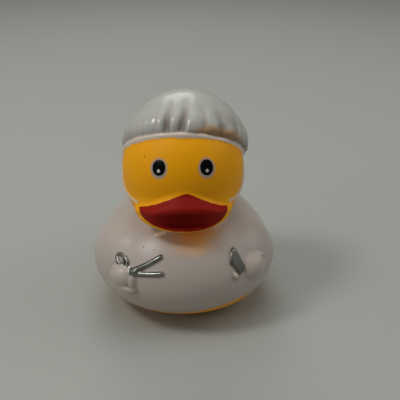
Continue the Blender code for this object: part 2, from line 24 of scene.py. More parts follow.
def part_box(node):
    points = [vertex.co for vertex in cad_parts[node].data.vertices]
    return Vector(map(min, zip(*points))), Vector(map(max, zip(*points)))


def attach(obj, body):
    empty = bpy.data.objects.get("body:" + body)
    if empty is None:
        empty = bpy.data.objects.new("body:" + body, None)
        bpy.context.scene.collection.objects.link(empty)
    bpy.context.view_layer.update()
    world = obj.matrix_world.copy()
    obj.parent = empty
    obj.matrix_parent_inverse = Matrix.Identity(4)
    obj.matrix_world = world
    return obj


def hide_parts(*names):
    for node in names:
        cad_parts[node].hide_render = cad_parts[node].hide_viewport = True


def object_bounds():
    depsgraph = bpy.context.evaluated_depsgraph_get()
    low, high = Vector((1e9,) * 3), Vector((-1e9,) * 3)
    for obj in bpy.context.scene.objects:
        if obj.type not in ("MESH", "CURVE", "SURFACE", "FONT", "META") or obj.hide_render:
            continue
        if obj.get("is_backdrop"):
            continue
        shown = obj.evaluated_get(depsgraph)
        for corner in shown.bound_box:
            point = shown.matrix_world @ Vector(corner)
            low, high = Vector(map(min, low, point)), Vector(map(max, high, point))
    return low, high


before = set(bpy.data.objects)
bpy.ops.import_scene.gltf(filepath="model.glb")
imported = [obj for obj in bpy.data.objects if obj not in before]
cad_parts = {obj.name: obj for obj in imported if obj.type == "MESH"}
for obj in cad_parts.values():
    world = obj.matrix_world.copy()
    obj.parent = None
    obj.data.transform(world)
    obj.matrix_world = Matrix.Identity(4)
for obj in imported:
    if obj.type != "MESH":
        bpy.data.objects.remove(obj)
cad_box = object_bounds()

Array = np.ndarray
Distance = Callable[[Array], Array]
Pair = tuple[float, float]
Triple = tuple[float, float, float]
Tree = bpy.types.NodeTree
Node = bpy.types.Node
Socket = bpy.types.NodeSocket

LOG = logging.getLogger("duck")
MM = 0.001
# Farther than any fillet or paint edge reaches, in millimetres
FAR = 9.0
# The room left round the CAD's box to draw the skin in, in millimetres
ROOM = 1.5


def spot(x: float, y: float, z: float) -> Array:
    """A place or a size in millimetres."""
    return np.array((x, y, z), dtype=float)


def turned(axis: str, degrees: float) -> Array:
    """A turn about one axis, as a matrix whose columns are the turned axes."""
    return np.array(Matrix.Rotation(math.radians(degrees), 3, axis))


def facing(outward: Array, along: Array) -> Array:
    """Axes for a form that lies on the skin.

    Args:
        outward: The skin's outward direction, which becomes the first axis.
        along: Roughly where the second axis points, along the skin.

    Returns:
        The three axes as columns.
    """
    first = outward / np.linalg.norm(outward)
    second = along - first * (along @ first)
    second = second / np.linalg.norm(second)
    return np.stack((first, second, np.cross(first, second)), axis=1)


def ramp(value: Array, low: float | Array, high: float | Array) -> Array:
    """Rise smoothly from 0 at low to 1 at high."""
    part = np.clip((value - low) / (high - low), 0.0, 1.0)
    return part * part * (3.0 - 2.0 * part)


def between(value: Array, rise: Pair, fall: Pair) -> Array:
    """Rise smoothly from 0 to 1 over one span and back to 0 over a later one."""
    return ramp(value, *rise) * (1.0 - ramp(value, *fall))


def melt(first: Array, second: Array, fillet: float) -> Array:
    """Run two forms together.

    Args:
        first: Distances to one form.
        second: Distances to the other form.
        fillet: How far from their meeting line the fillet reaches.

    Returns:
        Distances to the joined form.
    """
    share = np.clip(0.5 + 0.5 * (second - first) / fillet, 0.0, 1.0)
    return second + (first - second) * share - fillet * share * (1.0 - share)


def carve(form: Array, tool: Array, round_off: float) -> Array:
    """Cut a tool's form out of another, rounding the edge it leaves."""
    return -melt(-form, tool, round_off)


def nearby(points: Array, low: Array, high: Array, distance: Distance) -> Array:
    """Distances to a small form, measured only in a box round it.

    Args:
        points: Where to measure from.
        low: The box's lowest corner.
        high: Its highest corner.
        distance: Gives the form's distances.

    Returns:
        The distances, and FAR outside the box.
    """
    result = np.full(len(points), FAR)
    inside = np.all((points > low) & (points < high), axis=1)
    if inside.any():
        result[inside] = distance(points[inside])
    return result


def add_object(name: str, data: bpy.types.ID) -> bpy.types.Object:
    """Put an object in the scene.

    Args:
        name: Its name.
        data: Its mesh, camera or light.

    Returns:
        The object.
    """
    thing = bpy.data.objects.new(name, data)
    bpy.context.scene.collection.objects.link(thing)
    return thing


@dataclass(frozen=True)
class Ball:
    """A ball drawn out along its own three axes.

    Attributes:
        centre: Where it lies.
        half: Its half width, half length and half height.
        turn: Its own axes, as columns.
    """

    centre: Array
    half: Array
    turn: Array = field(default_factory=lambda: np.eye(3))

    def own(self, points: Array) -> Array:
        """Points in the ball's own axes."""
        return (points - self.centre) @ self.turn

    def distance(self, points: Array) -> Array:
        """Distances from points to the ball's skin."""
        return self.distance_own(self.own(points))

    def distance_own(self, own: Array) -> Array:
        """Measure from points that are already in the ball's own axes.

        Args:
            own: The points.

        Returns:
            Distances to its skin.
        """
        scaled = own / self.half
        reach = np.linalg.norm(scaled, axis=1)
        slope = np.linalg.norm(scaled / self.half, axis=1)
        return reach * (reach - 1.0) / np.maximum(slope, 1e-6)

    def front(self, x: float, z: float) -> Array:
        """The point on the front of an unturned ball at a given x and z.

        Args:
            x: Place across.
            z: Height.

        Returns:
            The point.
        """
        across = (x - self.centre[0]) / self.half[0]
        up = (z - self.centre[2]) / self.half[2]
        depth = math.sqrt(max(0.0, 1.0 - across * across - up * up))
        return spot(x, self.centre[1] - self.half[1] * depth, z)

    def normal(self, point: Array) -> Array:
        """The outward direction of an unturned ball at a point near its skin."""
        out = (point - self.centre) / self.half**2
        return out / np.linalg.norm(out)


@dataclass(frozen=True)
class Cord:
    """A round bar through a row of points.

    Attributes:
        points: The points along its middle.
        radius: Half its thickness.
        closed: Whether its end joins its start.
        room: How far off its skin it is still measured.
    """

    points: tuple[Array, ...]
    radius: float
    closed: bool = False
    room: float = 2.0

    def distance(self, points: Array) -> Array:
        """Distances to the bar's skin, and FAR from points far from it."""
        rows, margin = np.array(self.points), self.radius + self.room
        return nearby(points, rows.min(axis=0) - margin, rows.max(axis=0) + margin, self.measure)

    def measure(self, points: Array) -> Array:
        """Measure from near by.

        Args:
            points: Points near the bar.

        Returns:
            Distances to its skin.
        """
        stops = list(self.points) + ([self.points[0]] if self.closed else [])
        best = np.full(len(points), np.inf)
        for start, end in zip(stops[:-1], stops[1:]):
            along = end - start
            away = points - start
            part = np.clip(away @ along / (along @ along), 0.0, 1.0)
            best = np.minimum(best, np.linalg.norm(away - part[:, None] * along, axis=1))
        return best - self.radius


@dataclass(frozen=True)
class Body:
    """The egg of the body, its upturned tail, and the flat and vent hole in its underside."""

    width: float = 45.8
    length: float = 51.1
    height: float = 31.6
    cut: float = 2.3
    back_taper: float = 0.13
    top_taper: float = 0.09
    tail_length: float = 4.5
    tail_root: float = 9.5
    tail_lift: float = 6.0
    tail_width: float = 19.0
    tail_thickness: float = 10.0
    tail_rise: float = 8.5
    tail_taper: float = 0.35
    tail_tip: float = 1.1
    tail_stretch: float = 0.8
    tail_fillet: float = 3.5
    vent: float = 3.0
    vent_depth: float = 9.0
    vent_round: float = 0.5
    foot_round: float = 0.7
    search_rounds: int = 4

    @property
    def egg(self) -> Ball:
        """The egg, before its underside is cut flat."""
        centre = spot(0.0, -self.tail_length / 2, self.height / 2 - self.cut)
        return Ball(centre, spot(self.width, self.length, self.height) / 2)

    def tail(self, points: Array) -> Array:
        """Measure the tail, a flat ball that narrows and bends up to its tip.

        Args:
            points: Where to measure from.

        Returns:
            Distances to the tail, eased because the bend stretches them.
        """
        length = self.tail_root + self.tail_length
        root = self.egg.centre + spot(0.0, self.length / 2 - self.tail_root, self.tail_lift)
        own = points - root
        part = np.clip(own[:, 1] / length, 0.0, self.tail_tip)
        straight = own.copy()
        straight[:, 0] /= 1.0 - self.tail_taper * part
        straight[:, 2] -= self.tail_rise * part**2
        half = spot(self.tail_width / 2, length, self.tail_thickness / 2)
        return Ball(np.zeros(3), half).distance_own(straight) * self.tail_stretch

    def narrowing(self, own: Array) -> Array:
        """How the egg's width changes toward its back and its top."""
        part = own / self.egg.half
        return 1.0 - self.back_taper * part[..., 1] - self.top_taper * part[..., 2]

    def front(self, x: float, z: float, proud: float = 0.0) -> Array:
        """The point on the front of the body at a given x and z.

        Args:
            x: Place across.
            z: Height.
            proud: How far the point stands off the skin.

        Returns:
            The point.
        """
        point = self.egg.front(x, z)
        for _ in range(self.search_rounds):
            point = self.egg.front(x / self.narrowing(point - self.egg.centre), z)
        point[0] = x
        return point + proud * self.egg.normal(point)

    def distance(self, points: Array) -> Array:
        """Measure the body with its tail.

        Args:
            points: Where to measure from.

        Returns:
            Distances to it.
        """
        own = self.egg.own(points)
        own[:, 0] /= self.narrowing(own)
        return melt(self.egg.distance_own(own), self.tail(points), self.tail_fillet)

    def stand(self, form: Array, points: Array) -> Array:
        """Cut the flat the duck stands on, and its vent hole.

        Args:
            form: Distances to the whole duck.
            points: The points they were measured from.

        Returns:
            Distances to the duck with its underside cut.
        """
        standing = carve(form, points[:, 2], self.foot_round)
        middle = np.hypot(points[:, 0], points[:, 1])
        bore = np.maximum(middle - self.vent / 2, points[:, 2] - self.vent_depth)
        return carve(standing, bore, self.vent_round)


@dataclass(frozen=True)
class Lobe:
    """A soft lobe that lies on the body.

    Attributes:
        place: Its x and z on the front of the body's egg.
        half_length: Half its length, along the skin.
        half_width: Half its width, along the skin.
        proud: How far it stands off the egg.
        along: Roughly where its length points.
        fillet: The fillet that joins it to the body.
        half_thickness: Half its thickness, out of the skin.
    """

    place: Pair
    half_length: float
    half_width: float
    proud: float
    along: Triple
    fillet: float
    half_thickness: float = 3.2

    def ball(self, body: Body, side: int) -> Ball:
        """The lobe as a ball, on one side of the body.

        Args:
            body: The body it lies on.
            side: 1 as given, -1 mirrored.

        Returns:
            The ball.
        """
        mirror = spot(side, 1.0, 1.0)
        point = body.front(*self.place)
        outward = body.egg.normal(point)
        centre = point + outward * (self.proud - self.half_thickness)
        turn = facing(outward * mirror, np.array(self.along) * mirror)
        return Ball(centre * mirror, spot(self.half_thickness, self.half_length, self.half_width), turn)


@dataclass(frozen=True)
class Arms:
    """Short puffed sleeves on the shoulders, with a mitten hand below each.

    The hand of left_lobes, at -X, holds the scissors, and that of right_lobes the scalpel. Both are
    given at +X. A lobe is measured no further off than room.
    """

    body: Body
    sleeve: Lobe = Lobe((19.8, 18.6), 6.2, 7.0, 0.7, (0.3, -0.45, -0.85), 3.0, 4.0)
    left_lobes: tuple[Lobe, ...] = (
        Lobe((15.1, 15.4), 3.8, 3.1, 2.1, (0.9, 0.45, 0.1), 0.35),
        Lobe((13.7, 13.3), 2.9, 1.1, 1.6, (0.95, 0.3, 0.1), 0.3, 2.0),
        Lobe((12.2, 15.0), 2.3, 0.9, 1.2, (0.1, 0.0, 1.0), 0.5, 2.0),
        Lobe((15.4, 17.0), 2.3, 0.7, 1.6, (0.9, 0.3, 0.1), 0.25, 1.4),
    )
    right_lobes: tuple[Lobe, ...] = (
        Lobe((17.2, 16.2), 3.8, 3.5, 2.1, (0.9, 0.45, 0.3), 0.4),
        Lobe((18.0, 17.9), 1.9, 0.6, 1.75, (0.75, 0.5, -0.6), 0.6, 1.5),
        Lobe((12.0, 16.2), 1.0, 0.6, 1.2, (-0.25, 0.0, 1.0), 0.2, 1.4),
    )
    room: float = 3.0

    def join(self, form: Array, points: Array) -> Array:
        """Run the sleeves and the hands into the body.

        Args:
            form: Distances to the body.
            points: The points they were measured from.

        Returns:
            Distances to the body with its arms.
        """
        for side, lobes in ((-1, self.left_lobes), (1, self.right_lobes)):
            for lobe in (self.sleeve, *lobes):
                ball = lobe.ball(self.body, side)
                reach = ball.half.max() + self.room
                near = nearby(points, ball.centre - reach, ball.centre + reach, ball.distance)
                form = melt(form, near, lobe.fillet)
        return form


@dataclass(frozen=True)
class Head:
    """The ball of the head, seated in the top of the body."""

    body: Body
    width: float = 29.4
    depth: float = 29.0
    height: float = 30.0
    seat: float = 6.8
    forward: float = 5.5
    chin: float = 1.24

    @property
    def ball(self) -> Ball:
        """The head's ball, before its lower half is drawn down."""
        rise = self.body.height / 2 + self.height / 2 - self.seat
        return Ball(
            self.body.egg.centre + spot(0.0, -self.forward, rise),
            spot(self.width, self.depth, self.height) / 2,
        )

    def distance(self, points: Array) -> Array:
        """Distances to the head, whose lower half is drawn down to full cheeks and a chin."""
        own = self.ball.own(points)
        return self.ball.distance_own(own / np.where(own[:, 2:] < 0.0, spot(1.0, 1.0, self.chin), 1.0))

    def front(self, x: float, z: float) -> Array:
        """The point on the front of the face at a given x and z.

        Args:
            x: Place across.
            z: Height.

        Returns:
            The point.
        """
        middle = self.ball.centre[2]
        drawn = self.chin if z < middle else 1.0
        point = self.ball.front(x, middle + (z - middle) / drawn)
        point[2] = z
        return point


@dataclass(frozen=True)
class Bill:
    """The open bill: a roof that slopes from the face to the upper lip, over a shallow bowl.

    Its own axes start between the corners of the mouth: x across, y back and z up.
    """

    head: Head
    half_width: float = 10.9
    corner_ahead: float = 9.1
    corner_drop: float = 6.2
    roof_reach: float = 8.5
    roof_rise: float = 2.8
    roof_slope: float = 0.90
    roof_spread: float = 1.35
    roof_round: float = 0.8
    roof_fillet: float = 0.9
    palate_rise: float = 1.35
    palate_round: float = 0.5
    bowl_reach: float = 7.0
    bowl_depth: float = 3.2
    bowl_fall: float = 0.42
    bowl_round: float = 0.6
    bowl_fillet: float = 1.2
    web_half: Triple = (10.7, 8.1, 4.0)
    web_drop: float = 0.4
    web_fillet: float = 2.2
    mouth_half: Triple = (7.6, 4.2, 2.6)
    mouth_place: Triple = (0.9, -8.8, -1.0)
    mouth_round: float = 2.0
    lip: float = 0.55
    lip_sink: float = 0.6
    lip_steps: int = 32
    lip_fillet: float = 0.5
    spray_reach: float = 1.2
    spray_drop: float = 2.2
    box_below: Triple = (15.0, 14.0, 8.0)
    box_above: Triple = (15.0, 4.0, 11.0)

    @property
    def origin(self) -> Array:
        """The point between the corners of the mouth."""
        return self.head.ball.centre - spot(0.0, self.corner_ahead, self.corner_drop)

    @property
    def web(self) -> Ball:
        """The soft web between the halves at the back of the mouth."""
        return Ball(spot(0.0, 0.0, -self.web_drop), spot(*self.web_half))

    def roof(self, own: Array) -> Array:
        """Measure the upper half, a tent whose ridge runs from the face to the lip.

        Args:
            own: Points in the bill's axes.

        Returns:
            Distances to it.
        """
        across = np.clip(np.abs(own[:, 0]) / self.half_width, 0.0, 1.0)
        rim = -self.roof_reach * np.sqrt(1.0 - across**2)
        slope = self.roof_slope * np.clip(1.0 - (across * self.roof_spread) ** 2, 0.0, 1.0)
        height = self.roof_rise * (1.0 - across**2) + slope * (own[:, 1] - rim)
        top = (own[:, 2] - height) / np.sqrt(1.0 + slope**2)
        # In plan the lip is an ellipse, so the ball is one of no particular height
        plan = Ball(np.zeros(3), spot(self.half_width, self.roof_reach, 99.0)).distance_own(own)
        under = -self.palate_rise * own[:, 1] / self.roof_reach - own[:, 2]
        return -melt(-under, melt(-plan, -top, self.roof_round), self.palate_round)

    def bowl(self, own: Array) -> Array:
        """Measure the lower half, a shallow bowl before it is hollowed.

        Args:
            own: Points in the bill's axes.

        Returns:
            Distances to it.
        """
        lean = own @ turned("X", math.degrees(math.atan(self.bowl_fall)))
        ball = Ball(np.zeros(3), spot(self.half_width, self.bowl_reach, self.bowl_depth))
        return -melt(-ball.distance_own(lean), -lean[:, 2], self.bowl_round)

    def lower_lip(self) -> Cord:
        """The rolled edge of the lower half, from corner to corner.

        Returns:
            The roll as a cord.
        """
        points = []
        for index in range(self.lip_steps + 1):
            angle = math.pi * index / self.lip_steps
            reach = (self.bowl_reach - self.lip) * math.sin(angle)
            x = (self.half_width - self.lip) * math.cos(angle)
            height = -self.bowl_fall * reach - self.lip * self.lip_sink
            points.append(self.origin + spot(x, -reach, height))
        return Cord(tuple(points), self.lip)

    def in_reach(self, points: Array) -> Array:
        """How far points lie inside what the red spray can reach.

        Args:
            points: Points on the skin.

        Returns:
            Distances, positive on both halves and the web, and negative on the throat.
        """
        own = points - self.origin
        form = np.minimum(self.roof(own), self.bowl(own))
        form = np.minimum(form, self.web.distance(own))
        return np.minimum(self.spray_reach - form, own[:, 2] - self.bowl_fall * own[:, 1] + self.spray_drop)

    def join(self, form: Array, points: Array) -> Array:
        """Run both halves and the web into the head, hollow the mouth and roll the lower lip.

        Args:
            form: Distances to what carries the bill.
            points: The points they were measured from.

        Returns:
            Distances to it with the bill.
        """
        low, high = self.origin - spot(*self.box_below), self.origin + spot(*self.box_above)
        inside = np.all((points > low) & (points < high), axis=1)
        own = points[inside] - self.origin
        part = melt(form[inside], self.roof(own), self.roof_fillet)
        part = melt(part, self.bowl(own), self.bowl_fillet)
        part = melt(part, self.web.distance(own), self.web_fillet)
        mouth = Ball(spot(*self.mouth_place), spot(*self.mouth_half))
        part = carve(part, mouth.distance(own), self.mouth_round)
        result = form.copy()
        result[inside] = melt(part, self.lower_lip().distance(points[inside]), self.lip_fillet)
        return result


@dataclass(frozen=True)
class Fold:
    """One valley of the gathers.

    Attributes:
        angle: Where it lies round the cap, from the forehead toward +X.
        depth: How deep it is at the rim.
        spread: Half its width in degrees.
        reach: How far up the crown it runs.
        lean: How far it leans round the cap, in degrees a millimetre.
        fade: How soon it dies out on its way up.
    """

    angle: float
    depth: float
    spread: float
    reach: float
    lean: float = 0.0
    fade: float = 1.2

    def at(self, angle: Array, height: Array) -> Array:
        """Measure the valley.

        Args:
            angle: Angles of points round the cap.
            height: Their heights over the rim.

        Returns:
            How deep the valley is there.
        """
        away = (angle - self.angle - self.lean * height + 180.0) % 360.0 - 180.0
        fade = np.clip(1.0 - height / self.reach, 0.0, 1.0) ** self.fade
        return self.depth * np.exp(-((away / self.spread) ** 2)) * fade


@dataclass(frozen=True)
class Cap:
    """The gathered cap, worn tilted to the back of the head, with its rolled rim.

    Attributes with a plural verb, such as gap_opens, are spans of angles round the cap. Each of
    rim_waves is the share, the number round the cap and the phase of an unevenness of the roll.
    """

    head: Head
    tilt: float = 37.6
    roll: float = 1.6
    offset: float = 3.5
    shift: float = 0.5
    width: float = 30.9
    depth: float = 30.2
    rise: float = 15.7
    puff: float = 0.45
    puff_height: float = 4.0
    puff_spread: float = 3.0
    tuck: float = 2.0
    tuck_height: float = 0.9
    gap_tuck: float = 1.2
    gap_height: float = 0.6
    gap_opens: Pair = (8.0, 26.0)
    gap_shuts: Pair = (48.0, 72.0)
    edge_height: float = 0.2
    edge_round: float = 0.5
    rim: float = 1.35
    rim_fade: float = 0.34
    rim_thins: Pair = (2.0, 32.0)
    rim_thickens: Pair = (70.0, 90.0)
    rim_waves: tuple[Triple, ...] = ((0.09, 7.0, 1.0), (0.07, 17.0, 2.0))
    folds: tuple[Fold, ...] = (
        Fold(-57.0, 0.30, 4.5, 4.5), Fold(-47.0, 0.35, 3.2, 5.0), Fold(-40.0, 0.40, 2.6, 5.0),
        Fold(-32.5, 0.55, 2.4, 5.6), Fold(-25.5, 0.60, 2.8, 5.8), Fold(-15.0, 1.30, 4.0, 10.0),
        Fold(-2.5, 1.30, 4.2, 11.0, 0.7), Fold(17.0, 0.75, 4.5, 9.5, 0.4), Fold(36.0, 0.95, 6.0, 10.0),
        Fold(54.0, 0.80, 4.0, 8.0), Fold(69.0, 0.60, 4.5, 7.0),
    )
    back_folds: int = 16
    back_angles: Pair = (82.0, 292.0)
    back_stray: float = 3.0
    back_least: Triple = (0.35, 3.4, 5.0)
    back_most: Triple = (0.75, 4.8, 8.5)
    seed: int = 4
    crown_fillet: float = 0.4
    rim_fillet: float = 0.3
    reach: float = 19.0

    @property
    def turn(self) -> Array:
        """The cap's own axes: its Z runs up and back, its -Y to the forehead."""
        return turned("X", -self.tilt) @ turned("Y", self.roll)

    @property
    def centre(self) -> Array:
        """The middle of the rim."""
        return self.head.ball.centre + self.turn[:, 2] * self.offset

    def all_folds(self) -> list[Fold]:
        """The folds seen on the forehead and the evener ones behind.

        Returns:
            The folds. Those behind differ in depth, spread and reach, drawn in that order.
        """
        chance = np.random.default_rng(self.seed)
        first, last = self.back_angles
        pitch = (last - first) / (self.back_folds - 1)
        folds = list(self.folds)
        for index in range(self.back_folds):
            angle = first + pitch * index + chance.uniform(-self.back_stray, self.back_stray)
            folds.append(Fold(angle, *chance.uniform(self.back_least, self.back_most)))
        return folds

    def own(self, points: Array) -> Array:
        """Points in the cap's own axes."""
        return (points - self.centre) @ self.turn

    @staticmethod
    def angle(own: Array) -> Array:
        """Angles round the cap in degrees, from the forehead toward +X."""
        return np.degrees(np.arctan2(own[:, 0], -own[:, 1]))

    def crown(self, points: Array) -> Array:
        """Measure the puffed and gathered crown.

        Args:
            points: Where to measure from.

        Returns:
            Distances to it.
        """
        own = self.own(points)
        height = own[:, 2]
        angle = self.angle(own)
        # The crease over the rim, widest over one temple
        gap = between(angle, self.gap_opens, self.gap_shuts)
        tall = self.tuck_height + self.gap_height * gap
        pull = (self.tuck + self.gap_tuck * gap) * np.clip(1.0 - height / tall, 0.0, 1.0) ** 2
        for fold in self.all_folds():
            pull = pull + fold.at(angle, height)
        swell = self.puff * np.exp(-(((height - self.puff_height) / self.puff_spread) ** 2))
        half = spot(self.width / 2, self.depth / 2, self.rise)
        skin = Ball(spot(self.shift, 0.0, 0.0), half).distance(own) - swell + pull
        return -melt(-skin, height - self.edge_height, self.edge_round)

    def rim_ring(self, points: Array) -> Array:
        """Measure the rolled rim, a ring that thins out over one temple.

        Args:
            points: Where to measure from.

        Returns:
            Distances to it.
        """
        own = self.own(points)
        angle = self.angle(own)
        turn = np.radians(angle)
        uneven = sum(share * np.sin(count * turn + phase) for share, count, phase in self.rim_waves)
        thin = self.rim_fade * between(angle, self.rim_thins, self.rim_thickens)
        radius = math.sqrt((self.head.width / 2) ** 2 - self.offset**2)
        away = np.hypot(np.hypot(own[:, 0], own[:, 1]) - radius, own[:, 2])
        return away - self.rim * (1.0 + uneven - thin) / 2

    def join(self, form: Array, points: Array) -> Array:
        """Put the crown and the rim on the head.

        Args:
            form: Distances to what carries the cap.
            points: The points they were measured from.

        Returns:
            Distances to it with the cap.
        """
        low, high = self.centre - self.reach, self.centre + self.reach
        form = melt(form, nearby(points, low, high, self.crown), self.crown_fillet)
        return melt(form, nearby(points, low, high, self.rim_ring), self.rim_fillet)


@dataclass(frozen=True)
class CapShadeAndCrease:
    """Painted shade on the cap, and the crease over its rim that the spray hardly reached.

    Attributes:
        cap: The cap.
        shaded_valleys: Depths of the folds over which painted shade sets in.
        rim_shade: How much painted shade lies just above the rim.
        rim_heights: Heights over which that ends.
        side_shade: How strong the painted shade on the crown's side away from the light is, whose place and
            spread, round and up, follow.
        crease_opens: Angles over which the crease opens.
        crease_shuts: Angles over which it shuts.
        crease_top: Height of its upper edge where it opens.
        crease_lift: How much higher that edge gets, over the angles crease_lifts.
        crease_fade: How far below and above that edge it fades.
    """

    cap: Cap
    shaded_valleys: Pair = (0.12, 0.8)
    rim_shade: float = 0.6
    rim_heights: Pair = (0.8, 3.4)
    side_shade: float = 0.45
    side_shade_place: Pair = (42.0, 4.5)
    side_shade_spread: Pair = (13.0, 2.2)
    crease_opens: Pair = (6.0, 13.0)
    crease_shuts: Pair = (50.0, 66.0)
    crease_top: float = 0.9
    crease_lift: float = 1.5
    crease_lifts: Pair = (8.0, 22.0)
    crease_fade: Pair = (0.9, 0.7)

    def shade_share(self, points: Array) -> Array:
        """How much painted shade lies in the valleys, above the rim and on the crown's side away from the
        light.

        Args:
            points: Points on the skin.

        Returns:
            How much lies at each, from 0 to 1.
        """
        own = self.cap.own(points)
        angle, height = self.cap.angle(own), own[:, 2]
        # Painted shade: in the fold valleys, on the crown's side away from the light, and in the tuck above
        # the rim
        depth = sum(fold.at(angle, height) for fold in self.cap.all_folds())
        around = (angle - self.side_shade_place[0]) / self.side_shade_spread[0]
        up = (height - self.side_shade_place[1]) / self.side_shade_spread[1]
        side_shade = self.side_shade * np.exp(-(around**2) - up**2)
        at_rim = self.rim_shade * (1.0 - ramp(height, *self.rim_heights))
        return np.maximum(np.maximum(ramp(depth, *self.shaded_valleys), side_shade), at_rim)

    def crease(self, points: Array) -> Array:
        """Where the crown's spray hardly reached.

        Args:
            points: Points on the skin.

        Returns:
            How much of it is missing at each, from 0 to 1.
        """
        own = self.cap.own(points)
        angle = self.cap.angle(own)
        top = self.crease_top + self.crease_lift * ramp(angle, *self.crease_lifts)
        below, above = self.crease_fade
        under_top = 1.0 - ramp(own[:, 2], top - below, top + above)
        return between(angle, self.crease_opens, self.crease_shuts) * under_top


class PaintField(Enum):
    """What the skin records for its paints. Each value names an attribute of its points.

    The first nine hold how far a point lies inside a paint's edge, in millimetres. The last two hold
    a share from 0 to 1: thin spray, which under the chin also paints orange bounce light, and painted shade.
    """

    CAP = "cap_edge"
    GOWN = "gown_edge"
    BILL = "bill_edge"
    TIES = "tie_edge"
    SILVER = "silver_edge"
    RIM = "rim_edge"
    RING = "eye_ring_edge"
    PUPIL = "pupil_edge"
    LIGHT = "eye_light_edge"
    # Thin spray; under the chin it also paints orange bounce light
    THIN_AND_BOUNCE = "thin_spray_and_bounce"
    # Painted shade in hollows and creases
    PAINTED_SHADE = "painted_shade"


@dataclass(frozen=True)
class Eyes:
    """The printed eyes: a soft pale ring, a black pupil and a small white light."""

    head: Head
    apart: float = 10.7
    off_middle: float = -0.05
    height: float = 5.1
    pupil: Pair = (3.15, 3.65)
    ring: Pair = (4.0, 4.65)
    ring_drop: float = 0.18
    light: Pair = (0.78, 0.78)
    light_drop: float = 0.72
    print_depth: float = 2.5

    def edges(self, points: Array) -> dict[PaintField, Array]:
        """Measure the prints.

        Args:
            points: Points on the skin.

        Returns:
            How far they lie inside the edges of the ring, the pupil and the light.
        """
        shapes = (
            (PaintField.RING, self.ring, self.ring_drop),
            (PaintField.PUPIL, self.pupil, 0.0),
            (PaintField.LIGHT, self.light, self.light_drop),
        )
        edges = {part: np.full(len(points), -FAR) for part, _, _ in shapes}
        for side in (-1, 1):
            across = side * self.apart / 2 + self.off_middle
            point = self.head.front(across, self.head.ball.centre[2] + self.height)
            own = (points - point) @ facing(self.head.ball.normal(point), spot(0.0, 0.0, 1.0))
            near = np.abs(own[:, 0]) < self.print_depth
            for part, size, drop in shapes:
                flat = own[:, (2, 1)] + np.array((0.0, drop))
                reach = np.linalg.norm(flat / np.array(size) * 2.0, axis=1)
                edge = (1.0 - reach) * min(size) / 2.0
                edges[part] = np.where(near, np.maximum(edges[part], edge), edges[part])
        return edges


@dataclass(frozen=True)
class Ties:
    """Thin cords in relief on the cheeks, from under the cap's rim to the corners of the bill.

    Attributes:
        head: The head they lie on.
        thickness: How thick they are.
        proud: How far their middle stands off the head.
        way: Directions from the middle of the head that they are fitted to.
        degree: The degree of the curve through those directions.
        steps: How many points lie between two of those directions.
    """

    head: Head
    thickness: float = 0.8
    proud: float = 0.12
    way: tuple[Triple, ...] = (
        (0.95, 0.10, 0.27), (0.98, 0.15, 0.05), (0.97, -0.05, -0.15),
        (0.87, -0.42, -0.27), (0.71, -0.66, -0.25),
    )
    degree: int = 3
    steps: int = 4

    def cord(self, side: int) -> Cord:
        """The tie of one cheek.

        Args:
            side: 1 for the cheek at +X, -1 for the other.

        Returns:
            The tie.
        """
        ball = self.head.ball
        mirror = spot(side, 1.0, 1.0)
        last = len(self.way) - 1
        bend = np.polyfit(range(last + 1), np.array(self.way), self.degree)
        points = []
        for part in np.linspace(0.0, float(last), last * self.steps + 1):
            way = part ** np.arange(float(self.degree), -1.0, -1.0) @ bend
            way = way / np.linalg.norm(way)
            low = spot(1.0, 1.0, self.head.chin if way[2] < 0.0 else 1.0)
            points.append(ball.centre + ball.half * mirror * low * way + way * self.proud * mirror)
        return Cord(tuple(points), self.thickness / 2)

    def distance(self, points: Array) -> Array:
        """Distances to both ties."""
        return np.minimum(self.cord(-1).distance(points), self.cord(1).distance(points))


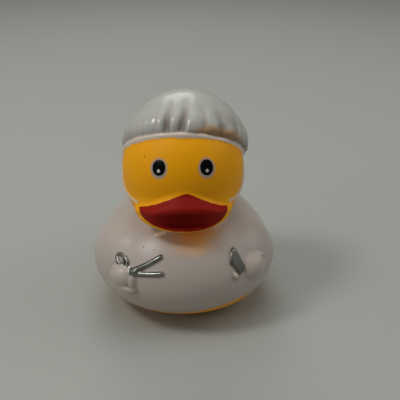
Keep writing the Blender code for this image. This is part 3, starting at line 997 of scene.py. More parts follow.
@dataclass(frozen=True)
class Scissors:
    """Open scissors in relief, with a hook in the one ring that shows.

    Places are across and up on the front of the body, and low and high are the corners of the box
    that the scissors are measured in.
    """

    body: Body
    pivot: Pair = (-11.9, 17.4)
    plate: Triple = (3.0, 1.8, 1.9)
    plate_way: Triple = (1.0, 0.0, 0.2)
    blades: tuple[tuple[Pair, Pair], ...] = (
        ((-12.2, 17.6), (-5.6, 21.25)),
        ((-12.4, 17.1), (-5.3, 18.2)),
    )
    blade_thickness: float = 1.15
    blade_steps: int = 6
    ring: Pair = (-14.7, 18.7)
    ring_size: Pair = (3.4, 2.85)
    ring_lift: float = 0.15
    ring_steps: int = 16
    wire: float = 0.74
    shank_steps: int = 2
    hook: tuple[Pair, ...] = (
        (-15.75, 18.75), (-15.5, 18.25), (-15.05, 18.1), (-14.4, 18.25), (-14.15, 18.6), (-14.3, 18.95),
    )
    hook_wire: float = 0.5
    hook_lift: float = 0.35
    proud: float = 0.1
    fillet: float = 0.3
    low: Triple = (-19.0, -30.0, 13.0)
    high: Triple = (-2.0, -15.0, 25.0)

    def bar(self, places: list[Pair] | Array, lift: float, thickness: float, closed: bool = False) -> Cord:
        """A bar that lies on the body.

        Args:
            places: Where it runs.
            lift: How far it stands off the rest of the scissors.
            thickness: How thick it is.
            closed: Whether its end joins its start.

        Returns:
            The bar.
        """
        points = tuple(self.body.front(*place, self.proud + lift) for place in places)
        return Cord(points, thickness / 2, closed)

    def bars(self) -> list[Cord]:
        """Lay out the scissors' wires.

        Returns:
            The blades, the finger ring, its hook and the shank from the ring to the pivot.
        """
        ring, half = np.array(self.ring), (np.array(self.ring_size) - self.wire) / 2
        angles = np.linspace(0.0, 2.0 * math.pi, self.ring_steps, endpoint=False)
        circle = [ring + half * (math.cos(angle), math.sin(angle)) for angle in angles]
        away = np.array(self.pivot) - ring
        shank = np.linspace(ring + away / np.linalg.norm(away) * half, self.pivot, self.shank_steps + 1)
        blades = [np.linspace(*ends, self.blade_steps + 1) for ends in self.blades]
        return [
            *(self.bar(blade, 0.0, self.blade_thickness) for blade in blades),
            self.bar(circle, self.ring_lift, self.wire, closed=True),
            self.bar(self.hook, self.hook_lift, self.hook_wire),
            self.bar(shank, 0.0, self.wire),
        ]

    def distance(self, points: Array) -> Array:
        """Distances to the scissors."""
        return nearby(points, spot(*self.low), spot(*self.high), self.measure)

    def measure(self, points: Array) -> Array:
        """Measure from near by.

        Args:
            points: Points near the scissors.

        Returns:
            Distances to them.
        """
        middle = self.body.front(*self.pivot)
        turn = facing(self.body.egg.normal(middle), spot(*self.plate_way))[:, (1, 0, 2)]
        form = Ball(middle, spot(*self.plate) / 2, turn).distance(points)
        for bar in self.bars():
            form = melt(form, bar.distance(points), self.fillet)
        return form


@dataclass(frozen=True)
class Scalpel:
    """A short scalpel blade in relief: a flat bar with a slanted tip.

    Its convex outline is across and up on the front of the body, and box_below and box_above are
    how far the box it is measured in reaches past that outline.
    """

    body: Body
    outline: tuple[Pair, ...] = (
        (11.2, 21.5), (11.7, 21.5), (14.3, 17.5), (14.1, 16.6), (13.1, 16.1), (10.8, 19.0), (10.8, 20.4),
    )
    proud: float = 0.55
    sunk: float = 1.1
    edge: float = 0.22
    box_below: Triple = (2.0, 30.0, 2.0)
    box_above: Triple = (2.0, -14.0, 2.0)

    def distance(self, points: Array) -> Array:
        """Distances to the blade, and FAR from points far from it."""
        rows = np.array([(x, 0.0, z) for x, z in self.outline])
        return nearby(
            points, rows.min(axis=0) - self.box_below, rows.max(axis=0) + self.box_above, self.measure
        )

    def measure(self, points: Array) -> Array:
        """Measure from near by.

        Args:
            points: Points near the blade.

        Returns:
            Distances to it.
        """
        corners = np.array([self.body.front(x, z) for x, z in self.outline])
        middle = corners.mean(axis=0)
        turn = facing(self.body.egg.normal(middle), spot(0.0, 0.0, 1.0))
        flat = ((corners - middle) @ turn)[:, 1:]
        own = (points - middle) @ turn
        side = np.full(len(points), -FAR)
        for first, second in zip(flat, np.roll(flat, -1, axis=0)):
            step = second - first
            out = np.array((step[1], -step[0])) / np.linalg.norm(step)
            out = -out if (flat.mean(axis=0) - first) @ out > 0.0 else out
            side = np.maximum(side, (own[:, 1:] - first) @ out)
        face = np.maximum(own[:, 0] - self.proud, -own[:, 0] - self.sunk)
        return -melt(-side, -face, self.edge)


@dataclass(frozen=True)
class Stencil:
    """The edge of the bill's red paint, as a stencil held before the face sees it.

    Heights are measured from the middle of the head in the plane across the spray, which comes
    from in front and above.

    Attributes:
        head: The head it is held to.
        spray_slope: How far the spray comes down, in degrees.
        half_width: From the middle to a corner of the mouth.
        corner: Height of the corners.
        arch: Heights of the upper edge above the corners, from the middle outward.
        peak_aside: How far the peak lies off the middle, as a share of half_width.
        sag: How far the lower edge hangs below the corners.
        sag_power: The power of its curve, 2 for half an ellipse.
        sag_stretch: Eases the distances to it, because it is steep at the corners.
        behind: How far before the head's middle the spray stops.
    """

    head: Head
    spray_slope: float = 27.0
    half_width: float = 10.3
    corner: float = -9.75
    arch: tuple[float, ...] = (2.85, 2.1, 1.30, 0.60, 0.1, 0.0)
    peak_aside: float = 0.07
    sag: float = 5.95
    sag_power: float = 2.1
    sag_stretch: float = 0.9
    behind: float = 4.0

    def edge(self, points: Array) -> Array:
        """Measure the stencil's opening.

        Args:
            points: Points on the skin.

        Returns:
            How far they lie inside it.
        """
        lean = math.radians(self.spray_slope)
        away = points - self.head.ball.centre
        height = away[:, 1] * math.sin(lean) + away[:, 2] * math.cos(lean) - self.corner
        side = away[:, 0] / self.half_width
        across = np.abs(side - self.peak_aside * (1.0 - np.abs(side)))
        top = np.interp(across, np.linspace(0.0, 1.0, len(self.arch)), self.arch)
        bottom = -self.sag * np.sqrt(np.clip(1.0 - across**self.sag_power, 0.0, 1.0))
        edge = np.minimum(top - height, (height - bottom) * self.sag_stretch)
        edge = np.minimum(edge, (1.0 - across) * self.half_width)
        return np.minimum(edge, -(away[:, 1] + self.behind))


@dataclass(frozen=True)
class Gown:
    """The gown's white spray: its hem, and a thin patch under the chin that also paints orange bounce light.

    Attributes:
        head: The head that keeps the spray off.
        hem: Height of the lower edge on the -X side.
        hem_rise: How steeply it rises toward +X, as far across as hem_top.
        hem_fall: How steeply it falls again from hem_turn on.
        lee_aside: How far the lee's middle lies toward +X; lee_spread is how wide it is.
        lee_front: How far forward it begins.
        lee_begins: Heights above the chin's underside over which it begins.
        lee_ends: Heights over which it ends.
    """

    head: Head
    hem: float = 5.6
    hem_rise: float = 0.22
    hem_top: float = 13.0
    hem_fall: float = 0.4
    hem_turn: float = 14.0
    lee_aside: float = 2.8
    lee_spread: float = 5.0
    lee_front: Pair = (14.0, 18.0)
    lee_begins: Pair = (1.6, 5.6)
    lee_ends: Pair = (8.0, 10.0)

    def hem_height(self, across: Array) -> Array:
        """Heights of the gown's lower edge, sprayed higher on one side."""
        rise = self.hem_rise * np.clip(across, 0.0, self.hem_top)
        return self.hem + rise - self.hem_fall * np.maximum(across - self.hem_turn, 0.0)

    def thin(self, points: Array) -> Array:
        """Where the spray lies thin in the chin's lee, a patch that also paints orange bounce light from the
        chin and bill.

        Args:
            points: Points on the skin.

        Returns:
            How much of it is missing at each, from 0 to 1.
        """
        low = points[:, 2] - self.head.ball.centre[2] + self.head.chin * self.head.height / 2
        aside = (points[:, 0] - self.lee_aside) / self.lee_spread
        spread = np.exp(-(aside**2)) * ramp(-points[:, 1], *self.lee_front)
        return spread * between(low, self.lee_begins, self.lee_ends)


@dataclass(frozen=True)
class SkinDrawing:
    """Draws the skin of a form from its distances, as even quads.

    Attributes:
        form: Gives the distance from points to the form.
        step: The side of the quads.
        block: How many steps a coarse block spans; only blocks near the skin are measured finely.
        near: How many blocks from the skin that is.
        chunk: How many nodes are measured at once, to save memory.
        rounds: How often the quads are evened out and set back on the skin.
        probe: The step each way with which a gradient is measured.
        least_slope: The least squared gradient that a point is moved by.
        longest_move: The longest such move, in steps.
    """

    form: Distance
    step: float
    block: int = 4
    near: float = 1.5
    chunk: int = 400000
    rounds: int = 4
    probe: float = 0.02
    least_slope: float = 0.05
    longest_move: float = 0.5

    def measure(self, low: Array, counts: Array) -> Array:
        """Measure the form at the nodes of a grid, finely only near the skin.

        Args:
            low: The grid's lowest corner.
            counts: How many blocks it has along each axis.

        Returns:
            A grid of distances.
        """
        wide = self.step * self.block
        middles = [low[axis] + wide * (np.arange(counts[axis]) + 0.5) - self.step / 2 for axis in range(3)]
        grid = np.stack(np.meshgrid(*middles, indexing="ij"), axis=-1)
        coarse = self.form(grid.reshape(-1, 3)).reshape(counts)
        values = coarse.astype(np.float32)
        for axis in range(3):
            values = np.repeat(values, self.block, axis=axis)
        near = np.argwhere(np.abs(coarse) < wide * self.near)
        inner = np.stack(np.meshgrid(*([np.arange(self.block)] * 3), indexing="ij"), axis=-1).reshape(-1, 3)
        nodes = (near[:, None, :] * self.block + inner[None, :, :]).reshape(-1, 3)
        for start in range(0, len(nodes), self.chunk):
            some = nodes[start:start + self.chunk]
            values[tuple(some.T)] = self.form(low + some * self.step)
        return values

    def slopes(self, points: Array) -> Array:
        """The form's gradient at points, by small steps each way."""
        pairs = [(self.form(points + way), self.form(points - way)) for way in np.eye(3) * self.probe]
        return np.stack([(ahead - behind) / (2 * self.probe) for ahead, behind in pairs], axis=1)

    def settle(self, points: Array) -> Array:
        """Move points along the gradient onto the skin.

        Args:
            points: Points near the skin.

        Returns:
            The moved points.
        """
        slope = self.slopes(points)
        size = np.maximum((slope**2).sum(axis=1), self.least_slope)
        move = slope * (self.form(points) / size)[:, None]
        length = np.linalg.norm(move, axis=1)
        share = np.minimum(1.0, self.step * self.longest_move / np.maximum(length, 1e-9))
        return points - move * share[:, None]

    def draw(self, low: Array, high: Array) -> tuple[Array, Array]:
        """Draw the skin inside a box.

        Args:
            low: The box's lowest corner.
            high: Its highest corner.

        Returns:
            The points, and the corners of each quad, facing out.
        """
        counts = np.ceil((high - low) / (self.step * self.block)).astype(int)
        values = self.measure(low, counts)
        solid = values < 0.0
        cells, points = self.cell_points(values, solid, low)
        quads = self.join_cells(solid, cells)
        near = self.neighbours(quads, len(points))
        for _ in range(self.rounds):
            points = self.settle(self.even(points, *near))
        return self.settle(self.settle(points)), quads

    def cell_points(self, values: Array, solid: Array, low: Array) -> tuple[Array, Array]:
        """Set one point in each grid cell that the skin crosses.

        Args:
            values: Distances at the nodes.
            solid: Whether each node is inside.
            low: The grid's lowest corner.

        Returns:
            A grid of point numbers, -1 where there is none, and the points.
        """
        shape = np.array(solid.shape) - 1
        corners = [(i, j, k) for i in (0, 1) for j in (0, 1) for k in (0, 1)]
        inside = np.zeros(shape, dtype=np.int8)
        for i, j, k in corners:
            inside += solid[i:shape[0] + i, j:shape[1] + j, k:shape[2] + k]
        crossed = np.argwhere((inside > 0) & (inside < len(corners)))
        total = np.zeros((len(crossed), 3))
        count = np.zeros(len(crossed))
        for first in corners:
            for axis in range(3):
                if first[axis]:
                    continue
                second = list(first)
                second[axis] = 1
                start = values[tuple((crossed + first).T)].astype(float)
                end = values[tuple((crossed + second).T)].astype(float)
                cut = (start < 0.0) != (end < 0.0)
                part = np.where(cut, start / np.where(cut, start - end, 1.0), 0.0)
                place = np.tile(np.array(first, dtype=float), (len(crossed), 1))
                place[:, axis] += part
                total += place * cut[:, None]
                count += cut
        cells = np.full(shape, -1, dtype=np.int64)
        cells[tuple(crossed.T)] = np.arange(len(crossed))
        return cells, low + (crossed + total / count[:, None]) * self.step

    @staticmethod
    def join_cells(solid: Array, cells: Array) -> Array:
        """Join the points round each grid edge that the skin crosses into a quad.

        Args:
            solid: Whether each node is inside.
            cells: The grid of point numbers.

        Returns:
            The corners of each quad, facing out.
        """
        rings = []
        for axis in range(3):
            side, up = (axis + 1) % 3, (axis + 2) % 3
            ahead = np.take(solid, range(1, solid.shape[axis]), axis)
            behind = np.take(solid, range(solid.shape[axis] - 1), axis)
            edges = np.argwhere(ahead != behind)
            edges = edges[(edges[:, side] > 0) & (edges[:, up] > 0)]
            ring = []
            for back_side, back_up in ((0, 0), (1, 0), (1, 1), (0, 1)):
                cell = edges.copy()
                cell[:, side] -= back_side
                cell[:, up] -= back_up
                ring.append(cells[tuple(cell.T)])
            ring = np.stack(ring, axis=1)
            leaves = behind[tuple(edges.T)]
            rings.append(np.where(leaves[:, None], ring, ring[:, ::-1]))
        return np.concatenate(rings)

    @staticmethod
    def neighbours(quads: Array, count: int) -> tuple[Array, Array, Array]:
        """List the edges of the quads.

        Args:
            quads: The corners of each quad.
            count: How many points there are.

        Returns:
            The first and the second end of every edge, and how many edges meet at each point.
        """
        pairs = np.concatenate([np.stack((quads[:, i], quads[:, (i + 1) % 4]), axis=1) for i in range(4)])
        pairs = np.unique(np.sort(pairs, axis=1), axis=0)
        return pairs[:, 0], pairs[:, 1], np.bincount(pairs.ravel(), minlength=count)

    @staticmethod
    def even(points: Array, first: Array, second: Array, meet: Array) -> Array:
        """Move each point half way to the middle of its neighbours.

        Args:
            points: The points.
            first: The first end of every edge.
            second: Its second end.
            meet: How many edges meet at each point.

        Returns:
            The moved points.
        """
        total = np.zeros_like(points)
        for axis in range(3):
            total[:, axis] += np.bincount(first, points[second, axis], len(points))
            total[:, axis] += np.bincount(second, points[first, axis], len(points))
        return 0.5 * points + 0.5 * total / meet[:, None]


@dataclass
class Duck:
    """The whole moulding: its forms, and the skin drawn over them in quads as wide as step."""

    body: Body = field(default_factory=Body)
    step: float = 0.357
    head_fillet: float = 1.0
    tie_fillet: float = 0.35
    scissors_fillet: float = 0.25
    scalpel_fillet: float = 0.2

    def __post_init__(self) -> None:
        """Set every sub-assembly on the one that carries it."""
        self.arms = Arms(self.body)
        self.head = Head(self.body)
        self.bill = Bill(self.head)
        self.cap = Cap(self.head)
        self.ties = Ties(self.head)
        self.scissors = Scissors(self.body)
        self.scalpel = Scalpel(self.body)

    def trunk(self, points: Array) -> Array:
        """Distances to the body with its arms."""
        return self.arms.join(self.body.distance(points), points)

    def face(self, points: Array) -> Array:
        """Distances to the head with its bill."""
        return self.bill.join(self.head.distance(points), points)

    def distance(self, points: Array) -> Array:
        """Measure the duck.

        Args:
            points: Where to measure from.

        Returns:
            Distances to its outer skin.
        """
        form = melt(self.trunk(points), self.head.distance(points), self.head_fillet)
        form = self.bill.join(form, points)
        form = self.cap.join(form, points)
        form = melt(form, self.ties.distance(points), self.tie_fillet)
        form = melt(form, self.scissors.distance(points), self.scissors_fillet)
        form = melt(form, self.scalpel.distance(points), self.scalpel_fillet)
        return self.body.stand(form, points)

    def build(self, low: Array, high: Array) -> bpy.types.Object:
        """Draw the skin and record on it where the paints lie.

        Args:
            low: The lowest corner of the space to draw in.
            high: Its highest corner.

        Returns:
            The duck's mesh object.
        """
        drawing = SkinDrawing(self.distance, self.step)
        points, quads = drawing.draw(low, high)
        outward = drawing.slopes(points)
        outward /= np.linalg.norm(outward, axis=1)[:, None]
        mesh = bpy.data.meshes.new("duck_skin")
        mesh.vertices.add(len(points))
        mesh.vertices.foreach_set("co", (points * MM).astype(np.float32).ravel())
        mesh.loops.add(quads.size)
        mesh.loops.foreach_set("vertex_index", quads.astype(np.int32).ravel())
        mesh.polygons.add(len(quads))
        mesh.polygons.foreach_set("loop_start", np.arange(0, quads.size, 4, dtype=np.int32))
        mesh.update(calc_edges=True)
        mesh.validate()
        mesh.shade_smooth()
        for part, values in PaintPlan(self).fields(points, outward).items():
            layer = mesh.attributes.new(part.value, "FLOAT", "POINT")
            layer.data.foreach_set("value", values.astype(np.float32))
        return add_object("duck_skin", mesh)


@dataclass(frozen=True)
class PaintPlan:
    """Where the paints and the painted shade lie on the duck's skin.

    Attributes:
        duck: The duck.
        cap_overspray: How far the cap's spray reaches off the crown.
        crease_reach: Distances off the crown over which the crease ends.
        crease_thin: How much of the spray is missing in the crease.
        crease_shade: How much painted shade lies there.
        tie_spread: How far past a tie its paint reaches; silver_spread is that of an instrument.
        cap_shade: Distances inside the cap's edge over which painted shade sets in; gown_shade is the gown's.
        face_clear: How far round the face there is none of the gown's painted shade.
        probe: How far out a hollow is felt for.
        hollows: How hollow the skin is where painted shade sets in and where it is full.
    """

    duck: Duck
    cap_overspray: float = 1.2
    crease_reach: Pair = (0.6, 1.4)
    crease_thin: float = 0.72
    crease_shade: float = 0.8
    tie_spread: float = 0.1
    silver_spread: float = 0.12
    cap_shade: Pair = (0.0, 0.3)
    gown_shade: Pair = (0.0, 0.4)
    face_clear: float = 3.0
    probe: float = 0.9
    hollows: Pair = (0.12, 0.75)

    def fields(self, points: Array, outward: Array) -> dict[PaintField, Array]:
        """Work out everything that the paints need to know.

        Args:
            points: Points on the skin.
            outward: The skin's outward directions there.

        Returns:
            The values of each field at the points.
        """
        duck = self.duck
        shade_and_crease, gown_spray = CapShadeAndCrease(duck.cap), Gown(duck.head)
        trunk, face = duck.trunk(points), duck.face(points)
        crown, rim = duck.cap.crown(points), duck.cap.rim_ring(points)
        bare = np.minimum(face, trunk)
        silver = np.minimum(duck.scissors.distance(points), duck.scalpel.distance(points))
        above_rim = duck.cap.own(points)[:, 2] - duck.cap.edge_height
        cap = np.maximum(bare - crown, np.minimum(above_rim, self.cap_overspray - crown))
        gown = np.minimum(face - trunk, points[:, 2] - gown_spray.hem_height(points[:, 0]))
        crease = shade_and_crease.crease(points) * (1.0 - ramp(crown, *self.crease_reach))
        # Painted shade in the cap's crease, folds and tuck, and in the gown's hollows
        cap_shade = np.maximum(self.crease_shade * crease, shade_and_crease.shade_share(points) * ramp(cap, *self.cap_shade))
        gown_shade = self.hollow_shade(points, outward, np.minimum(gown, face - self.face_clear))
        return {
            PaintField.CAP: cap,
            PaintField.GOWN: gown,
            PaintField.BILL: np.minimum(Stencil(duck.head).edge(points), duck.bill.in_reach(points)),
            PaintField.TIES: self.tie_spread - duck.ties.distance(points),
            PaintField.SILVER: self.silver_spread - silver,
            PaintField.RIM: np.minimum(bare, crown) - rim,
            **Eyes(duck.head).edges(points),
            # Thin spray in the crease, and under the chin thin spray that also paints orange bounce light
            PaintField.THIN_AND_BOUNCE: np.maximum(self.crease_thin * crease, gown_spray.thin(points)),
            PaintField.PAINTED_SHADE: np.maximum(cap_shade, gown_shade),
        }

    def hollow_shade(self, points: Array, outward: Array, gown: Array) -> Array:
        """How much painted shade lies in the hollows round the hands and instruments.

        Args:
            points: Points on the skin.
            outward: The skin's outward directions there.
            gown: How far each lies inside the gown's spray, away from the face.

        Returns:
            How much lies at each point, from 0 to 1.
        """
        hollow = 1.0 - self.duck.distance(points + outward * self.probe) / self.probe
        return ramp(hollow, *self.hollows) * ramp(gown, *self.gown_shade)


def linear(hex_colour: str) -> tuple[float, float, float, float]:
    """Turn an sRGB hex colour such as "#f5b521" into linear values."""
    values = [int(hex_colour[i:i + 2], 16) / 255.0 for i in (1, 3, 5)]
    return (*[v / 12.92 if v <= 0.04045 else ((v + 0.055) / 1.055) ** 2.4 for v in values], 1.0)


def add_node(tree: Tree, kind: str, settings: dict | None = None, links: dict | None = None) -> Node:
    """Add a node with its settings and links.

    Args:
        tree: The node tree.
        kind: The node's type name without its ShaderNode prefix.
        settings: Properties by name, and socket values by name or number.
        links: Output sockets, by the name or number of the input each one feeds.

    Returns:
        The node.
    """
    node = tree.nodes.new("ShaderNode" + kind)
    for name, value in (settings or {}).items():
        if isinstance(name, str) and hasattr(node, name):
            setattr(node, name, value)
        else:
            node.inputs[name].default_value = value
    for name, output in (links or {}).items():
        tree.links.new(output, node.inputs[name])
    return node


class Mixed(Enum):
    """What a mix node mixes: its data type, and the numbers of its two inputs and its output."""

    COLOUR = ("RGBA", 6, 7, 2)
    NUMBER = ("FLOAT", 2, 3, 0)


@dataclass(frozen=True)
class Vinyl:
    """Soft PVC, rotationally moulded and left bare: saturated, slightly translucent, satin.

    Attributes:
        colour: Its colour as an sRGB hex value.
        roughness: A moulded skin keeps the fine matt of the blasted mould.
        milkiness: The share of light that enters the wall and comes out near by.
        milk_reach: How far that light travels, in millimetres for red, green and blue.
        waviness: How deep the wall's soft waves are, which make its highlights uneven.
        wave_length: From wave to wave.
        wave_detail: How many finer waves lie on them.
    """

    colour: str = "#f7a800"
    roughness: float = 0.5
    milkiness: float = 0.12
    milk_reach: Triple = (1.6, 0.7, 0.15)
    waviness: float = 0.05
    wave_length: float = 4.0
    wave_detail: float = 1.5


@dataclass(frozen=True)
class Paint:
    """One spray or print on the vinyl.

    Attributes:
        part: The field that holds the distance inside its edge.
        colour: Its colour as an sRGB hex value.
        roughness: Its roughness.
        metallic: 1 for metal flake paint.
        edge: How wide its edge fades.
        wander: How far its edge wanders.
        thinned: The share of it that is missing where the spray lies thin.
    """

    part: PaintField
    colour: str
    roughness: float
    metallic: float = 0.0
    edge: float = 0.08
    wander: float = 0.08
    thinned: float = 0.0


@dataclass(frozen=True)
class Surface:
    """One kind of skin: its name, and how strongly it reflects at right angles (0.5 is IOR 1.5)."""

    name: str
    specular: float


@dataclass(frozen=True)
class PaintedShade:
    """Painted shade: a grey-brown laid in hollows and creases, which also dulls the gloss there."""

    colour: str = "#6a5a4d"
    roughness: float = 0.6
    share: float = 0.75


@dataclass(frozen=True)
class SkinSpot:
    """A small round spot on the skin. Dark ones are specks of dirt, pale ones a painted highlight."""

    place: Triple
    radius: float
    colour: str = "#3a2a1c"
    fade: float = 1.5


@dataclass(frozen=True)
class DuckFinish:
    """The vinyl with every paint that lies on it, in the order they were put on.

    The gown and the cap are soft white sprays with satin and gloss; the bill is a denser, half matt
    red; the instruments are silver flake paint, brushed on by hand; the eyes are pad printed. The
    blasted skin and the thin prints on it reflect less than the wet-looking white sprays.

    Attributes:
        vinyl: The vinyl under them.
        bare: The skin that is bare or printed.
        sprayed: The skin under a white spray or the silver; glossy has the fields of those paints.
        paints: The paints, the first one lowest.
        spots_and_highlight: Specks of dirt stuck to them, and pale spots that are a painted highlight.
        painted_shade: Painted shade, a grey-brown laid in their hollows and creases.
        wobble: Lump size and detail of the noise that makes the paints' edges wander.
        cloud: Lump size and detail of the noise that makes thin spray patchy.
        patches: The values of that noise at which the spray is thin by patch_shares.
    """

    vinyl: Vinyl = Vinyl()
    bare: Surface = Surface("rotomoulded_vinyl_blasted", 0.16)
    sprayed: Surface = Surface("vinyl_with_glossy_spray", 0.45)
    glossy: tuple[PaintField, ...] = (
        PaintField.CAP, PaintField.GOWN, PaintField.RIM, PaintField.TIES, PaintField.SILVER,
    )
    paints: tuple[Paint, ...] = (
        Paint(PaintField.GOWN, "#b9ada3", 0.35, edge=0.30, wander=0.30, thinned=0.75),
        Paint(PaintField.CAP, "#b8b7af", 0.22, edge=0.15, wander=0.20, thinned=0.85),
        Paint(PaintField.RIM, "#d9cbbc", 0.22, edge=0.10, wander=0.38, thinned=0.15),
        Paint(PaintField.TIES, "#cfc2b0", 0.40, edge=0.12, wander=0.14),
        Paint(PaintField.BILL, "#8f0f00", 0.60, edge=0.06, wander=0.14),
        Paint(PaintField.SILVER, "#83827c", 0.28, metallic=1.0, edge=0.06, wander=0.05),
        Paint(PaintField.RING, "#ab9b92", 0.40, edge=0.28, wander=0.06),
        Paint(PaintField.PUPIL, "#020302", 0.20, edge=0.05, wander=0.04),
        Paint(PaintField.LIGHT, "#cfccc4", 0.35, edge=0.08, wander=0.03),
    )
    spots_and_highlight: tuple[SkinSpot, ...] = (
        SkinSpot((-9.62, -20.72, 22.37), 0.15),
        SkinSpot((-7.09, -22.06, 22.32), 0.12),
        SkinSpot((-8.59, -17.56, 44.23), 0.13),
        # A run of white paint at the chin's left edge, painted paler than the gown as a highlight
        SkinSpot((-6.6, -18.9, 24.75), 0.38, "#efe4d4"),
        SkinSpot((-5.9, -18.9, 24.85), 0.48, "#efe4d4"),
        SkinSpot((-5.2, -18.86, 24.95), 0.40, "#efe4d4"),
        SkinSpot((-4.6, -18.83, 25.05), 0.32, "#efe4d4"),
    )
    painted_shade: PaintedShade = PaintedShade()
    wobble: Pair = (1.1111, 2.0)
    cloud: Pair = (2.381, 3.0)
    patches: Pair = (0.3, 0.7)
    patch_shares: Pair = (0.7, 1.15)

    def dress(self, skin: bpy.types.Object) -> None:
        """Give the skin both materials, the sprayed one where a white spray or the silver lies.

        Args:
            skin: The duck's skin.
        """
        mesh = skin.data
        for surface in (self.bare, self.sprayed):
            mesh.materials.append(self.make(surface))
        inside = np.full(len(mesh.vertices), -FAR, dtype=np.float32)
        for part in self.glossy:
            values = np.empty_like(inside)
            mesh.attributes[part.value].data.foreach_get("value", values)
            inside = np.maximum(inside, values)
        corners = np.empty(len(mesh.loops), dtype=np.int32)
        mesh.loops.foreach_get("vertex_index", corners)
        kinds = (inside[corners].reshape(-1, 4).min(axis=1) > 0.0).astype(np.int32)
        mesh.polygons.foreach_set("material_index", kinds)

    def make(self, surface: Surface) -> bpy.types.Material:
        """Build the material of one kind of skin.

        Args:
            surface: The kind.

        Returns:
            The material.
        """
        material = bpy.data.materials.new(surface.name)
        material.use_nodes = True
        tree = material.node_tree
        shader = tree.nodes["Principled BSDF"]
        place = add_node(tree, "TexCoord").outputs["Object"]
        lumps = [{"Scale": 1.0 / (size * MM), "Detail": detail} for size, detail in (self.wobble, self.cloud)]
        wobble, cloud = (add_node(tree, "TexNoise", lump, {"Vector": place}).outputs["Fac"] for lump in lumps)
        thin, painted_shade = (
            add_node(tree, "Attribute", {"attribute_name": part.value}).outputs["Fac"]
            for part in (PaintField.THIN_AND_BOUNCE, PaintField.PAINTED_SHADE)
        )
        spans = zip(("From Min", "From Max", "To Min", "To Max"), (*self.patches, *self.patch_shares))
        patchy = add_node(tree, "MapRange", dict(spans), {"Value": cloud}).outputs["Result"]
        thin = add_node(tree, "Math", {"operation": "MULTIPLY"}, {0: thin, 1: patchy}).outputs[0]
        colour = add_node(tree, "RGB").outputs[0]
        colour.default_value = linear(self.vinyl.colour)
        rough = add_node(tree, "Value").outputs[0]
        rough.default_value = self.vinyl.roughness
        metal = add_node(tree, "Value").outputs[0]
        for paint in self.paints:
            cover = self.cover(tree, paint, wobble)
            full = self.thinned(tree, paint, cover, thin) if paint.thinned else cover
            colour = self.lay(tree, Mixed.COLOUR, full, colour, linear(paint.colour))
            rough = self.lay(tree, Mixed.NUMBER, cover, rough, paint.roughness)
            metal = self.lay(tree, Mixed.NUMBER, cover, metal, paint.metallic)
        # Painted shade: a grey-brown laid over the paints in hollows and creases
        painted_shade = add_node(tree, "Math", {"operation": "MULTIPLY", 1: self.painted_shade.share}, {0: painted_shade}).outputs[0]
        colour = self.lay(tree, Mixed.COLOUR, painted_shade, colour, linear(self.painted_shade.colour))
        rough = self.lay(tree, Mixed.NUMBER, painted_shade, rough, self.painted_shade.roughness)
        # Dark specks of dirt, and pale spots that paint a highlight at the chin
        for skin_spot in self.spots_and_highlight:
            cover = self.spot_cover(tree, skin_spot, place)
            colour = self.lay(tree, Mixed.COLOUR, cover, colour, linear(skin_spot.colour))
        for name, socket in (("Base Color", colour), ("Roughness", rough), ("Metallic", metal)):
            tree.links.new(socket, shader.inputs[name])
        shader.inputs["Specular IOR Level"].default_value = surface.specular
        self.wall(tree, shader, place)
        return material

    def wall(self, tree: Tree, shader: Node, place: Socket) -> None:
        """Set what is the same all over: the wall's milkiness and its soft waves.

        Args:
            tree: The material's nodes.
            shader: Its shader.
            place: Gives places on the skin.
        """
        vinyl = self.vinyl
        shader.inputs["Subsurface Weight"].default_value = vinyl.milkiness
        shader.inputs["Subsurface Radius"].default_value = vinyl.milk_reach
        shader.inputs["Subsurface Scale"].default_value = MM
        waves = {"Scale": 1.0 / (vinyl.wave_length * MM), "Detail": vinyl.wave_detail}
        wave = add_node(tree, "TexNoise", waves, {"Vector": place})
        depth = {"Strength": 1.0, "Distance": vinyl.waviness * MM}
        bump = add_node(tree, "Bump", depth, {"Height": wave.outputs["Fac"]})
        tree.links.new(bump.outputs["Normal"], shader.inputs["Normal"])

    @staticmethod
    def cover(tree: Tree, paint: Paint, wobble: Socket) -> Socket:
        """How much of one paint covers the vinyl.

        Args:
            tree: The material's nodes.
            paint: The paint.
            wobble: The noise that makes its edge wander.

        Returns:
            A socket that gives it, from 0 to 1.
        """
        edge = add_node(tree, "Attribute", {"attribute_name": paint.part.value}).outputs["Fac"]
        reach = {"operation": "MULTIPLY_ADD", 1: 2 * paint.wander, 2: -paint.wander}
        drift = add_node(tree, "Math", reach, {0: wobble}).outputs[0]
        moved = add_node(tree, "Math", {"operation": "ADD"}, {0: edge, 1: drift}).outputs[0]
        fade = {"From Min": -paint.edge, "From Max": paint.edge}
        return add_node(tree, "MapRange", fade, {"Value": moved}).outputs["Result"]

    @staticmethod
    def thinned(tree: Tree, paint: Paint, cover: Socket, thin: Socket) -> Socket:
        """How much of a paint that would cover the vinyl does so where the spray lies thin."""
        kept = add_node(tree, "Math", {"operation": "MULTIPLY_ADD", 1: -paint.thinned, 2: 1.0}, {0: thin})
        return add_node(tree, "Math", {"operation": "MULTIPLY"}, {0: cover, 1: kept.outputs[0]}).outputs[0]

    @staticmethod
    def spot_cover(tree: Tree, skin_spot: SkinSpot, place: Socket) -> Socket:
        """How much of a spot covers the skin.

        Args:
            tree: The material's nodes.
            skin_spot: The spot.
            place: Gives places on the skin.

        Returns:
            A socket that gives it, from 0 to 1.
        """
        middle = tuple(value * MM for value in skin_spot.place)
        away = add_node(tree, "VectorMath", {"operation": "DISTANCE", 1: middle}, {0: place})
        radius = skin_spot.radius * MM
        fade = {"From Min": radius, "From Max": radius * skin_spot.fade, "To Min": 1.0, "To Max": 0.0}
        return add_node(tree, "MapRange", fade, {"Value": away.outputs["Value"]}).outputs["Result"]

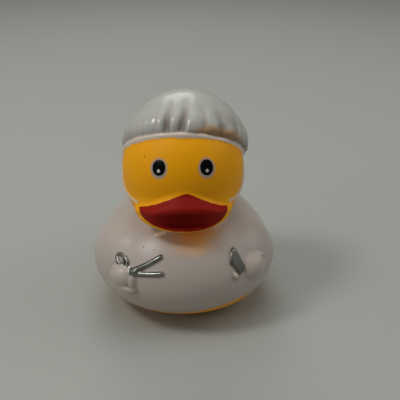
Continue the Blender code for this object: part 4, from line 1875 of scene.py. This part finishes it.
    @staticmethod
    def lay(tree: Tree, mixed: Mixed, cover: Socket, under: Socket, over: object) -> Socket:
        """Lay a value over the one under it, by how much it covers."""
        kind, first, second, out = mixed.value
        return add_node(tree, "Mix", {"data_type": kind, second: over}, {0: cover, first: under}).outputs[out]


@dataclass(frozen=True)
class Card:
    """Thick matt card, uncoated: it gives back soft light and no highlight."""

    name: str = "matt_card_floor"
    colour: str = "#a6a8a1"
    roughness: float = 0.9

    def make(self) -> bpy.types.Material:
        """Build the material.

        Returns:
            The material.
        """
        material = bpy.data.materials.new(self.name)
        material.use_nodes = True
        shader = material.node_tree.nodes["Principled BSDF"]
        shader.inputs["Base Color"].default_value = linear(self.colour)
        shader.inputs["Roughness"].default_value = self.roughness
        return material


@dataclass(frozen=True)
class Lamp:
    """A soft square lamp that faces the duck.

    Attributes:
        name: Its name.
        direction: Where it hangs, seen from the duck.
        distance: How far away, in metres.
        size: The side of its face, in metres.
        power: Its power in watts.
        aim: The height it faces, in metres.
    """

    name: str
    direction: Triple
    distance: float
    size: float
    power: float
    aim: float = 0.025

    def hang(self) -> None:
        """Add the lamp to the scene."""
        data = bpy.data.lights.new(self.name, "AREA")
        data.size = self.size
        data.energy = self.power
        lamp = add_object(self.name, data)
        way = Vector(self.direction).normalized()
        lamp.location = way * self.distance + Vector((0, 0, self.aim))
        lamp.rotation_euler = (-way).to_track_quat("-Z", "Y").to_euler()


@dataclass(frozen=True)
class Studio:
    """A plain pale floor, its side in metres, under plain soft lamps and a dim, even sky."""

    floor_card: Card = Card()
    floor_size: float = 6.0
    lamps: tuple[Lamp, ...] = (
        Lamp("key_lamp", (-0.56, -0.20, 0.80), 0.55, 0.12, 0.85),
        Lamp("ceiling_lamp", (0.0, 0.0, 1.0), 0.60, 0.50, 1.0),
        Lamp("back_lamp", (-0.08, 0.70, 0.71), 0.60, 0.27, 0.6),
        Lamp("left_lamp", (-1.0, 0.0, 0.45), 0.60, 0.40, 0.25),
        Lamp("right_lamp", (0.85, 0.0, 0.62), 0.60, 0.40, 0.62),
        Lamp("glint_lamp", (-0.68, -0.55, 0.48), 0.55, 0.08, 0.16),
    )
    sky_colour: str = "#e9ebe8"
    sky_strength: float = 0.17

    def floor(self) -> bpy.types.Object:
        """Lay the floor, a large plain sheet.

        Returns:
            The floor.
        """
        half = self.floor_size / 2
        corners = [(-half, -half, 0), (half, -half, 0), (half, half, 0), (-half, half, 0)]
        mesh = bpy.data.meshes.new("floor")
        mesh.from_pydata(corners, [], [(0, 1, 2, 3)])
        mesh.materials.append(self.floor_card.make())
        return add_object("floor", mesh)

    def light(self) -> None:
        """Hang the lamps and set the sky."""
        for lamp in self.lamps:
            lamp.hang()
        world = bpy.data.worlds.new("sky")
        bpy.context.scene.world = world
        world.use_nodes = True
        background = world.node_tree.nodes["Background"]
        background.inputs["Color"].default_value = linear(self.sky_colour)
        background.inputs["Strength"].default_value = self.sky_strength


@dataclass(frozen=True)
class Camera:
    """The photograph's view: a camera that looks down at the duck's face.

    Attributes:
        elevation: How far it looks down.
        distance: From the camera to the target.
        focal: Its focal length in pixels of the image.
        image: The side of the square image in pixels.
        target: The point that the view is set by.
        target_pixel: Where that point shows in the image.
        sensor: The width of its sensor.
        clip: The nearest it sees.
    """

    elevation: float = 27.0
    distance: float = 157.0
    focal: float = 600.0
    image: float = 400.0
    target: Triple = (0.0, -2.75, 25.5)
    target_pixel: Pair = (183.5, 200.0)
    sensor: float = 36.0
    clip: float = 10.0

    def place(self) -> None:
        """Add the camera to the scene and look through it."""
        lean = math.radians(self.elevation)
        forward = spot(0.0, math.cos(lean), -math.sin(lean))
        right = spot(1.0, 0.0, 0.0)
        per_pixel = self.distance / self.focal
        middle = self.image / 2
        aim = spot(*self.target)
        aim = aim + right * (middle - self.target_pixel[0]) * per_pixel
        aim = aim - np.cross(right, forward) * (middle - self.target_pixel[1]) * per_pixel
        eye = spot(*self.target) - forward * self.distance
        data = bpy.data.cameras.new("camera")
        data.sensor_width = self.sensor
        data.lens = self.focal / self.image * self.sensor
        data.clip_start = self.clip * MM
        camera = add_object("camera", data)
        camera.location = Vector(eye) * MM
        camera.rotation_euler = Vector(aim - eye).to_track_quat("-Z", "Y").to_euler()
        bpy.context.scene.camera = camera


def main() -> None:
    logging.basicConfig(level=logging.INFO)
    low, high = (np.array(corner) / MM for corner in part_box("duck_body"))
    skin = Duck().build(low - ROOM, high + ROOM)
    DuckFinish().dress(skin)
    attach(skin, "root")
    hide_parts("duck_body")
    LOG.info("%s: %d points", skin.name, len(skin.data.vertices))
    studio = Studio()
    studio.floor()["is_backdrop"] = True
    studio.light()
    LOG.info("studio: a floor and %d lamps", len(studio.lamps))
    Camera().place()
    bpy.context.scene.view_settings.view_transform = "Standard"
    boxes = {"cad": cad_box, "visual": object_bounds()}
    {name: [list(corner) for corner in box] for name, box in boxes.items()}


if __name__ == "__main__":
    main()
